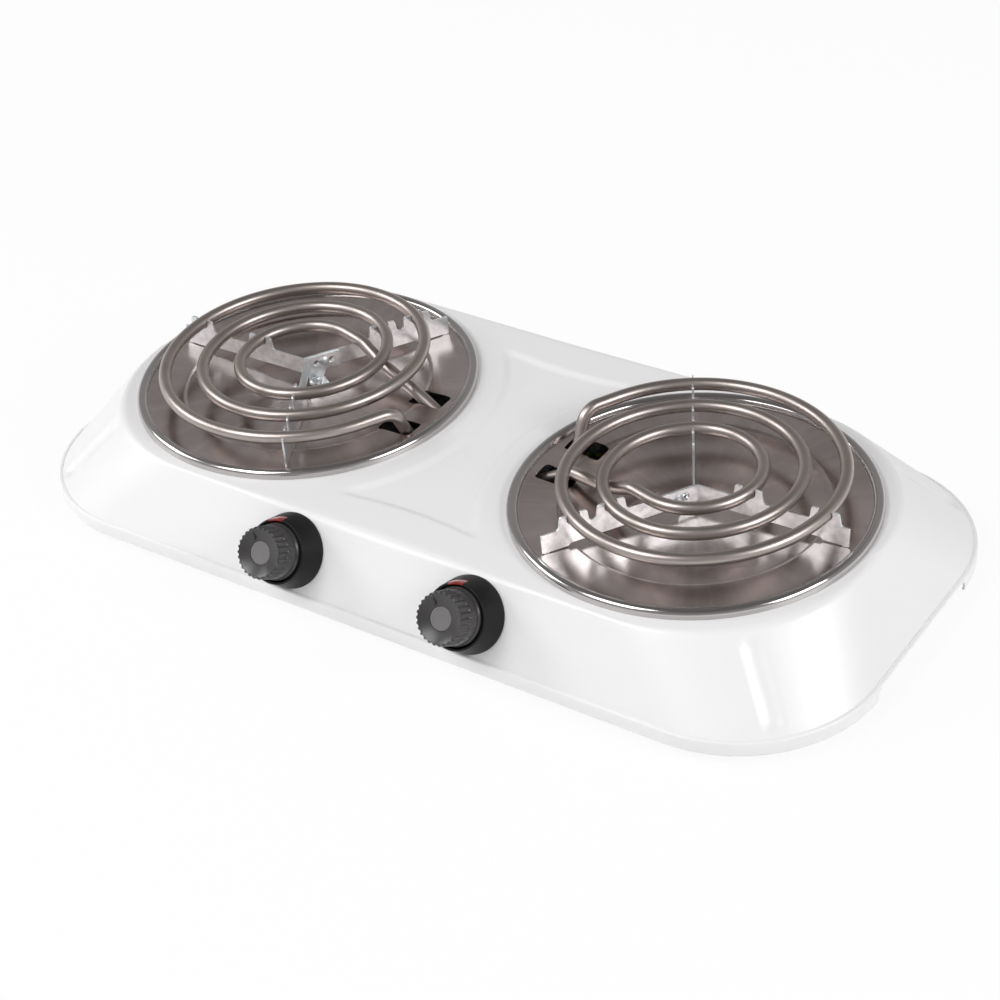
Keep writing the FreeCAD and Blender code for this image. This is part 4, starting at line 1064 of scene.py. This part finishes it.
def bentRun(points):
    # straight runs with a round bend at each inner point
    out = [points[0]]
    for before, corner, after in zip(points, points[1:], points[2:]):
        into = (corner - before).normalized()
        away = (after - corner).normalized()
        turn = into.angle(away)
        shorter = min((corner - before).length, (after - corner).length)
        radius = min(coil["legBend"], coil["bendShare"] * shorter / math.tan(turn / 2))
        cut = radius * math.tan(turn / 2)
        centre = corner + (away - into).normalized() * (radius / math.cos(turn / 2))
        start = corner - into * cut - centre
        end = corner + away * cut - centre
        steps = max(3, math.ceil(math.degrees(turn) / coil["bendStep"]))
        out += [centre + start.lerp(end, s / steps).normalized() * radius for s in range(steps + 1)]
    return out + [points[-1]]


def coilPoints():
    arcs = coilArcs()
    first = arcs[0]
    begin = arcPoint(first, first[2])
    back = polar(first[2] + 90, 1.0)
    knee = begin - back * ((coil["legSpread"] + coil["lean"] + begin.y) / back.y)
    drop = Vector((knee.x, -coil["legSpread"], coil["legHeight"]))
    slotEnd = knee.x + coil["tube"] + 2 * coil["slotClear"]
    points = bentRun([Vector((coil["legEnd"], -coil["legSpread"], coil["legHeight"])), drop, knee, begin])
    for item in arcs:
        steps = math.ceil(abs(item[3] - item[2]) / coil["arcStep"])
        points += [arcPoint(item, item[2] + (item[3] - item[2]) * s / steps) for s in range(1, steps + 1)]
    last = arcs[-1]
    heading = polar(last[3] - 90, 1.0)
    crest = points[-1] + heading * coil["crest"]
    chord = math.sqrt((last[1] + 1.5 * coil["step"])**2 - last[1]**2)
    under = crest + heading * (chord - coil["crest"] - coil["cross"]) - Vector((0, 0, coil["drop"]))
    slot = Vector((pan["slot"][0] + coil["tube"] / 2, coil["legSpread"] + coil["shift"], coil["entry"]))
    below = Vector((slotEnd + coil["tube"], coil["legSpread"], coil["legHeight"]))
    finish = Vector((coil["legEnd"], coil["legSpread"], coil["legHeight"]))
    return points + bentRun([points[-1], crest, under, slot, below, finish])[1:]


def tubeRings(points, radius, count):
    # round sections carried along the path without twist
    rings = []
    lengths = []
    across = None
    run = 0.0
    for k, point in enumerate(points):
        before = points[max(k - 1, 0)]
        after = points[min(k + 1, len(points) - 1)]
        heading = (after - before).normalized()
        if across is None:
            across = heading.orthogonal().normalized()
        across = (across - heading * across.dot(heading)).normalized()
        up = heading.cross(across)
        run += (point - before).length
        ring = []
        for i in range(count):
            turn = 2 * math.pi * i / count
            ring.append(point + (across * math.cos(turn) + up * math.sin(turn)) * radius)
        rings.append(ring)
        lengths.append(run)
    caps = ([points[0]] * count, [points[-1]] * count)
    return [caps[0]] + rings + [caps[1]], [0.0] + lengths + [run]


def makeCoil(side, sign):
    rings, lengths = tubeRings(coilPoints(), coil["tube"], coil["sides"])
    tube = ringTower("coil", rings, lengths)
    settle(tube, burnerPlace(sign))
    dress(tube, side + "Coil", coilSkin, "housing", [side + "_heating_coil"], 45)


# Coil support: stamped strips on edge, with a pair of ears at each turn

support = {
    "strip": 1.0,
    "low": 3.0,
    "top": 12.4,
    "reach": 84.0,
    "apex": (150.0, 3.5),       # angle, distance from the middle
    "earGap": 0.3,
    "earWidth": 4.4,
    "earTop": 19.6,
    "earLean": 0.5,
    "earFlare": (0.3, 0.8),     # out at the foot, in at the head
    "earFall": (0.1, 0.3),      # at the outer corners, at the tip
    "seatStep": 12,
    "held": {"left": (0, 2), "rear": (0, 1), "front": (0, 1, 2)},   # turns with ears, from the inside
    "shoe": (14.0, 1.7, 1.3),   # length, underside, ramp
    "tab": (4.0, 1.0, 0.4),     # from the tip, to the tip, underside
    "flangeStart": 1.5,
    "flangeLength": 19.0,
    "flangeTop": 11.9,
    "rivetZ": 7.7,
    "dimples": (5.2, 13.8),
    "dimple": 1.9,
    "pierced": 1.7,
    "burr": (0.7, 0.35, 0.05),  # height, wall, overlap
    "markCut": 3.0,
    "foot": 8.5,
    "floor": -2.0,
    "screw": (3.5, 5.3),        # along and across the rear strip
    "screwSize": (3.4, 2.2, 2.0, 14.4),     # head radius and height, shank radius and length
    "screwTurn": 0.4,
    "rivet": (2.6, 1.6),        # head and shank radius
    "softEdge": 0.16,
}
armAngles = {"left": 180.0, "rear": 60.0, "front": -60.0}


def apexPoint():
    return polar(*support["apex"])


def armTip(name):
    return polar(armAngles[name], support["reach"])


def rearFrame():
    along = (armTip("rear") - apexPoint()).normalized()
    return along, Vector((along.y, -along.x, 0))


def armRoot(name):
    if name != "front":
        return apexPoint()
    along, across = rearFrame()
    return apexPoint() + along * support["flangeStart"] + across * support["strip"]


def screwPoint():
    along, across = rearFrame()
    return apexPoint() + along * support["screw"][0] + across * support["screw"][1]


def seatPlaces(name):
    # where the coil lies across the strip
    root = armRoot(name)
    along = (armTip(name) - root).normalized()
    across = Vector((along.y, -along.x, 0))
    level = [p for p in coilPoints() if p.z > coil["height"] - 0.001]
    places = []
    for p, q in zip(level, level[1:]):
        a = (p - root).dot(across)
        b = (q - root).dot(across)
        if a * b > 0 or a == b or (p - q).length > 2 * coil["tube"]:
            continue
        reach = (p.lerp(q, a / (a - b)) - root).dot(along)
        if reach > coil["step"]:
            places.append(reach)
    return sorted(places)


def armOutline(name):
    # along the lower edge to the tip, then back over the ears
    length = (armTip(name) - armRoot(name)).length
    low = support["low"]
    top = support["top"]
    ear = support["earTop"]
    half = coil["tube"] + support["earGap"]
    lean = support["earLean"]
    fall, tipFall = support["earFall"]
    flareOut, flareIn = support["earFlare"]
    shoe, shoeLow, ramp = support["shoe"]
    tabIn, tabOut, tabLow = support["tab"]
    points = [
        (0.0, low), (length - shoe - ramp, low, 1.0), (length - shoe, shoeLow, 0.8),
        (length - tabIn, shoeLow), (length - tabIn, tabLow), (length - tabOut, tabLow, 0.5),
        (length - tabOut, shoeLow), (length, shoeLow, 0.4),
    ]
    places = seatPlaces(name)
    for k, seat in enumerate(places[i] for i in reversed(support["held"][name])):
        outer = seat + half + support["earWidth"]
        inner = seat - half - support["earWidth"]
        if outer < length - 1.0:
            if k == 0:
                points.append((length, top, 0.5))
            points += [(outer + flareOut, top, 1.8), (outer - flareIn, ear - fall, 1.7)]
        else:
            points.append((length, ear - tipFall, 0.5))
        points.append((seat + half - lean, ear, 0.8))
        for turn in range(0, 181, support["seatStep"]):
            around = math.radians(-turn)
            points.append((seat + half * math.cos(around), coil["height"] + half * math.sin(around)))
        points.append((seat - half + lean, ear, 0.8))
        points += [(inner + flareIn, ear - fall, 1.7), (inner - flareOut, top, 1.8)]
    points.append((0.0, top))
    return rounded(points, steps=5)


def plateAlong(name, outline, start, along):
    plate = flatPlate(name, outline, support["strip"])
    softenEdges(plate, support["softEdge"], 2, 40)
    return placed(plate, turnedAlong(along, start))


def armPlate(name):
    root = armRoot(name)
    return plateAlong(name + "Arm", armOutline(name), root, armTip(name) - root)


def acrossRear(reach, lift):
    # stands a piece across the rear strip at the rivet's height, lift mm out from the strip's middle
    along, across = rearFrame()
    point = apexPoint() + along * (support["flangeStart"] + reach) + across * lift
    turn = across.to_track_quat("Z", "Y").to_matrix().to_4x4()
    return Matrix.Translation((point.x, point.y, support["rivetZ"])) @ turn


def markCutters(radius, lift):
    # round cutters for the two marks beside the rivet
    cut = support["markCut"]
    places = [acrossRear(reach, lift) for reach in support["dimples"]]
    return [placed(peg("mark", radius, -cut, cut, count=24), place) for place in places]


def makeSupport(side, sign):
    half = support["strip"] / 2
    low = support["low"]
    top = support["top"]
    height, wall, overlap = support["burr"]
    rear = armPlate("rear")
    cutAway(rear, markCutters(support["pierced"], 0.0))
    pieces = [armPlate("left"), rear]
    bend = lathe("bend", [(0.0, low), (half, low), (half, top), (0.0, top)], 16)
    pieces.append(placed(bend, Matrix.Translation(apexPoint())))
    bore = support["pierced"] - overlap
    burr = rounded([
        (bore, -height, 0.15), (bore + wall, -height, 0.15), (bore + 2 * wall, overlap), (bore, overlap),
    ], steps=3)
    for reach in support["dimples"]:
        pieces.append(placed(lathe("burr", burr, 24), acrossRear(reach, -half)))
    strip = joinPieces(pieces)
    settle(strip, burnerPlace(sign))
    dress(strip, side + "Support", zinc, "housing", [side + "_coil_support"], 20)


def makeThirdArm(side, sign):
    along, across = rearFrame()
    low = support["low"]
    top = support["flangeTop"]
    length = support["flangeLength"]
    foot = support["foot"]
    floor = support["floor"]
    strip = support["strip"]
    cut = support["markCut"]
    outline = rounded([
        (0.0, floor + strip), (foot, floor + strip, 1.5), (foot + 1.5, low, 1.5), (length, low, 1.2),
        (length, top, 1.2), (0.0, top, 1.0),
    ], steps=5)
    flange = plateAlong("flange", outline, armRoot("front"), along)
    for cutter in markCutters(support["dimple"], strip):
        cutAway(flange, [cutter])
    plate = block("footPlate", (0.0, -foot, 0.0), (foot, 0.0, strip), 0.3, 2)
    screwX = support["screw"][0] - support["flangeStart"]
    screwY = 0.5 * strip - support["screw"][1]
    cutAway(plate, [peg("footHole", pan["screwHole"], -cut, cut, screwX, screwY, 32)])
    corner = apexPoint() + along * support["flangeStart"] + across * (strip / 2)
    placed(plate, turnedAlong(along, (corner.x, corner.y, floor)))
    arm = joinPieces([armPlate("front"), flange, plate])
    settle(arm, burnerPlace(sign))
    dress(arm, side + "ThirdArm", zinc, "housing", [side + "_support_arm"], 20)


def crossScrew(radius, height, shank, length):
    # pan head with a cross recess, head up, seated at z = 0
    head = lathe("screwHead", rounded([
        (0.0, height), (radius * 0.6, height * 0.94, 2.0), (radius, height * 0.45, 0.5), (radius, 0.0, 0.15),
        (shank, 0.0), (shank, -length, 0.3), (0.0, -length),
    ], closed=False, steps=5), 48)
    reach = radius * 0.58
    half = radius * 0.13
    for turn in (0.0, math.pi / 2):
        arm = block("recess", (-reach, -half, height * 0.35), (reach, half, height * 2))
        cutAway(head, [placed(arm, Matrix.Rotation(turn, 4, "Z"))])
    return head


def makeCentreScrews():
    screws = []
    place = screwPoint()
    seat = support["strip"] + support["floor"]
    for _, sign in sides:
        screw = crossScrew(*support["screwSize"])
        turn = Matrix.Rotation(support["screwTurn"] * sign, 4, "Z")
        settle(screw, burnerPlace(sign) @ Matrix.Translation((place.x, place.y, seat)) @ turn)
        screws.append(screw)
    dress(joinPieces(screws), "centreScrews", zinc, "housing", ["centre_screws"], 30)


def makeRivets():
    rivets = []
    head, shank = support["rivet"]
    front = 1.5 * support["strip"]
    back = -0.5 * support["strip"]
    profile = rounded([
        (0.0, front + 0.9), (1.5, front + 0.8, 0.8), (head, front + 0.2, 0.3), (head, front),
        (shank, front), (shank, back), (head, back, 0.2), (head - 0.1, back - 0.6, 0.5),
        (1.2, back - 0.9, 0.8), (0.0, back - 0.9),
    ], closed=False, steps=4)
    for _, sign in sides:
        rivet = lathe("rivet", profile, 40)
        settle(rivet, burnerPlace(sign) @ acrossRear(support["flangeLength"] / 2, 0.0))
        rivets.append(rivet)
    dress(joinPieces(rivets), "supportRivets", zinc, "housing", ["support_rivets"], 30)


for side, sign in sides:
    makePan(side, sign)
    makeCoil(side, sign)
    makeSupport(side, sign)
    makeThirdArm(side, sign)
makeCentreScrews()
makeRivets()
print("burners done")


# The solids that stay as they are get their finish here

plainFinishes = {
    "base_plate": baseSteel, "base_screws": zinc, "rubber_feet": rubber, "foot_bolts": zinc,
    "foot_nuts": zinc, "centre_nuts": zinc, "panel_nuts": nickel, "cord_gland": glandBlack,
    "gland_nut": glandBlack, "terminal_block": blockWhite, "block_screws": nickel, "earth_stud": zinc,
    "earth_nuts": zinc, "link_wire": wireBrown, "live_wire": wireBrown, "earth_wire": wireGreen,
    "clamp_bar": zinc, "lead_bracket": zinc, "terminal_pins": nickel, "insulator_beads": ceramic,
    "neon_lamp": lampGlass, "spindle": nickel, "regulator_plate": zinc, "regulator_case": caseBrown,
    "regulator_blades": brass, "load_wire": wireBrown, "neutral_wire": wireBlue,
}
for name, node in nodes.items():
    plain = name.removeprefix("left_").removeprefix("right_")
    if plain in plainFinishes:
        node.data.materials.clear()
        node.data.materials.append(plainFinishes[plain])
print("solids dressed")


# Studio: pale floor, soft boxes and the camera of the photograph

studio = {
    "camera": (0.5854, -0.7800, 0.7080),
    "right": (0.8299, 0.5528, -0.0764),
    "up": (-0.2727, 0.5211, 0.8088),
    "ahead": (-0.4869, 0.6503, -0.5831),
    "lens": 82.44,
    "sensor": 36.0,
    "clipStart": 0.05,
    "aim": (0.0, 0.0, 0.03),
    # name, place, width, height, power
    "boxes": (
        ("frontBox", (-0.45, -1.15, 1.55), 0.9, 0.9, 17.2),
        ("leftBox", (-1.60, -0.60, 1.05), 0.9, 0.7, 11.0),
        ("rightBox", (1.65, 0.05, 1.05), 0.9, 0.7, 16.0),
    ),
    # height, level
    "sky": ((0.0, 0.92), (0.1, 0.62), (0.3, 0.36), (0.57, 0.36), (0.8, 0.20), (1.0, 0.17)),
    "warmth": (1.0, 0.985, 0.98),
    "floorSize": 12.0,
    "floorZ": -0.0003,
    "floorTone": 0.9,
    "floorRoughness": 0.8,
    "floorGlow": 0.92,
}


def makeCamera():
    data = bpy.data.cameras.new("photoCamera")
    data.sensor_width = studio["sensor"]
    data.lens = studio["lens"]
    data.clip_start = studio["clipStart"]
    camera = bpy.data.objects.new("photoCamera", data)
    bpy.context.scene.collection.objects.link(camera)
    back = -Vector(studio["ahead"])
    turn = Matrix((Vector(studio["right"]), Vector(studio["up"]), back)).transposed().to_4x4()
    camera.matrix_world = Matrix.Translation(studio["camera"]) @ turn
    bpy.context.scene.camera = camera


def makeBoxes():
    for name, place, width, height, power in studio["boxes"]:
        data = bpy.data.lights.new(name, "AREA")
        data.shape = "RECTANGLE"
        data.size = width
        data.size_y = height
        data.energy = power
        lamp = bpy.data.objects.new(name, data)
        bpy.context.scene.collection.objects.link(lamp)
        lamp.visible_camera = False
        lamp.location = place
        heading = Vector(studio["aim"]) - Vector(place)
        lamp.rotation_euler = heading.to_track_quat("-Z", "Y").to_euler()


def makeWorld():
    # white round the horizon, darker overhead
    world = bpy.data.worlds.new("studioWorld")
    bpy.context.scene.world = world
    world.use_nodes = True
    tree = world.node_tree
    coords = addNode(tree, "ShaderNodeTexCoord")
    split = addNode(tree, "ShaderNodeSeparateXYZ")
    ramp = addNode(tree, "ShaderNodeValToRGB")
    warmth = studio["warmth"]
    fillRamp(ramp, [(place, [level * share for share in warmth]) for place, level in studio["sky"]])
    tree.links.new(coords.outputs["Generated"], split.inputs[0])
    tree.links.new(split.outputs["Z"], ramp.inputs["Fac"])
    tree.links.new(ramp.outputs["Color"], tree.nodes["Background"].inputs["Color"])


def makeFloor():
    deselectAll()
    bpy.ops.mesh.primitive_plane_add(size=studio["floorSize"], location=(0, 0, studio["floorZ"]))
    floor = bpy.context.object
    floor.name = "paleFloor"
    material = bpy.data.materials.new("paleFloor")
    material.use_nodes = True
    tree = material.node_tree
    shader = tree.nodes["Principled BSDF"]
    tone = studio["floorTone"]
    shader.inputs["Base Color"].default_value = (tone, tone, tone, 1.0)
    shader.inputs["Roughness"].default_value = studio["floorRoughness"]
    glow = addNode(tree, "ShaderNodeEmission", Strength=1.0)
    mix = addNode(tree, "ShaderNodeMixShader")
    path = addNode(tree, "ShaderNodeLightPath")
    seen = path.outputs["Is Camera Ray"]
    for label in ("Is Glossy Ray", "Is Transmission Ray"):
        either = addNode(tree, "ShaderNodeMath", operation="MAXIMUM")
        tree.links.new(seen, either.inputs[0])
        tree.links.new(path.outputs[label], either.inputs[1])
        seen = either.outputs[0]
    share = addNode(tree, "ShaderNodeMath", operation="MULTIPLY")
    share.inputs[1].default_value = studio["floorGlow"]
    tree.links.new(seen, share.inputs[0])
    tree.links.new(share.outputs[0], mix.inputs[0])
    tree.links.new(shader.outputs[0], mix.inputs[1])
    tree.links.new(glow.outputs[0], mix.inputs[2])
    tree.links.new(mix.outputs[0], tree.nodes["Material Output"].inputs["Surface"])
    floor.data.materials.append(material)


makeCamera()
makeBoxes()
makeWorld()
makeFloor()
bpy.context.scene.view_settings.view_transform = "Standard"
deselectAll()
print("studio done")
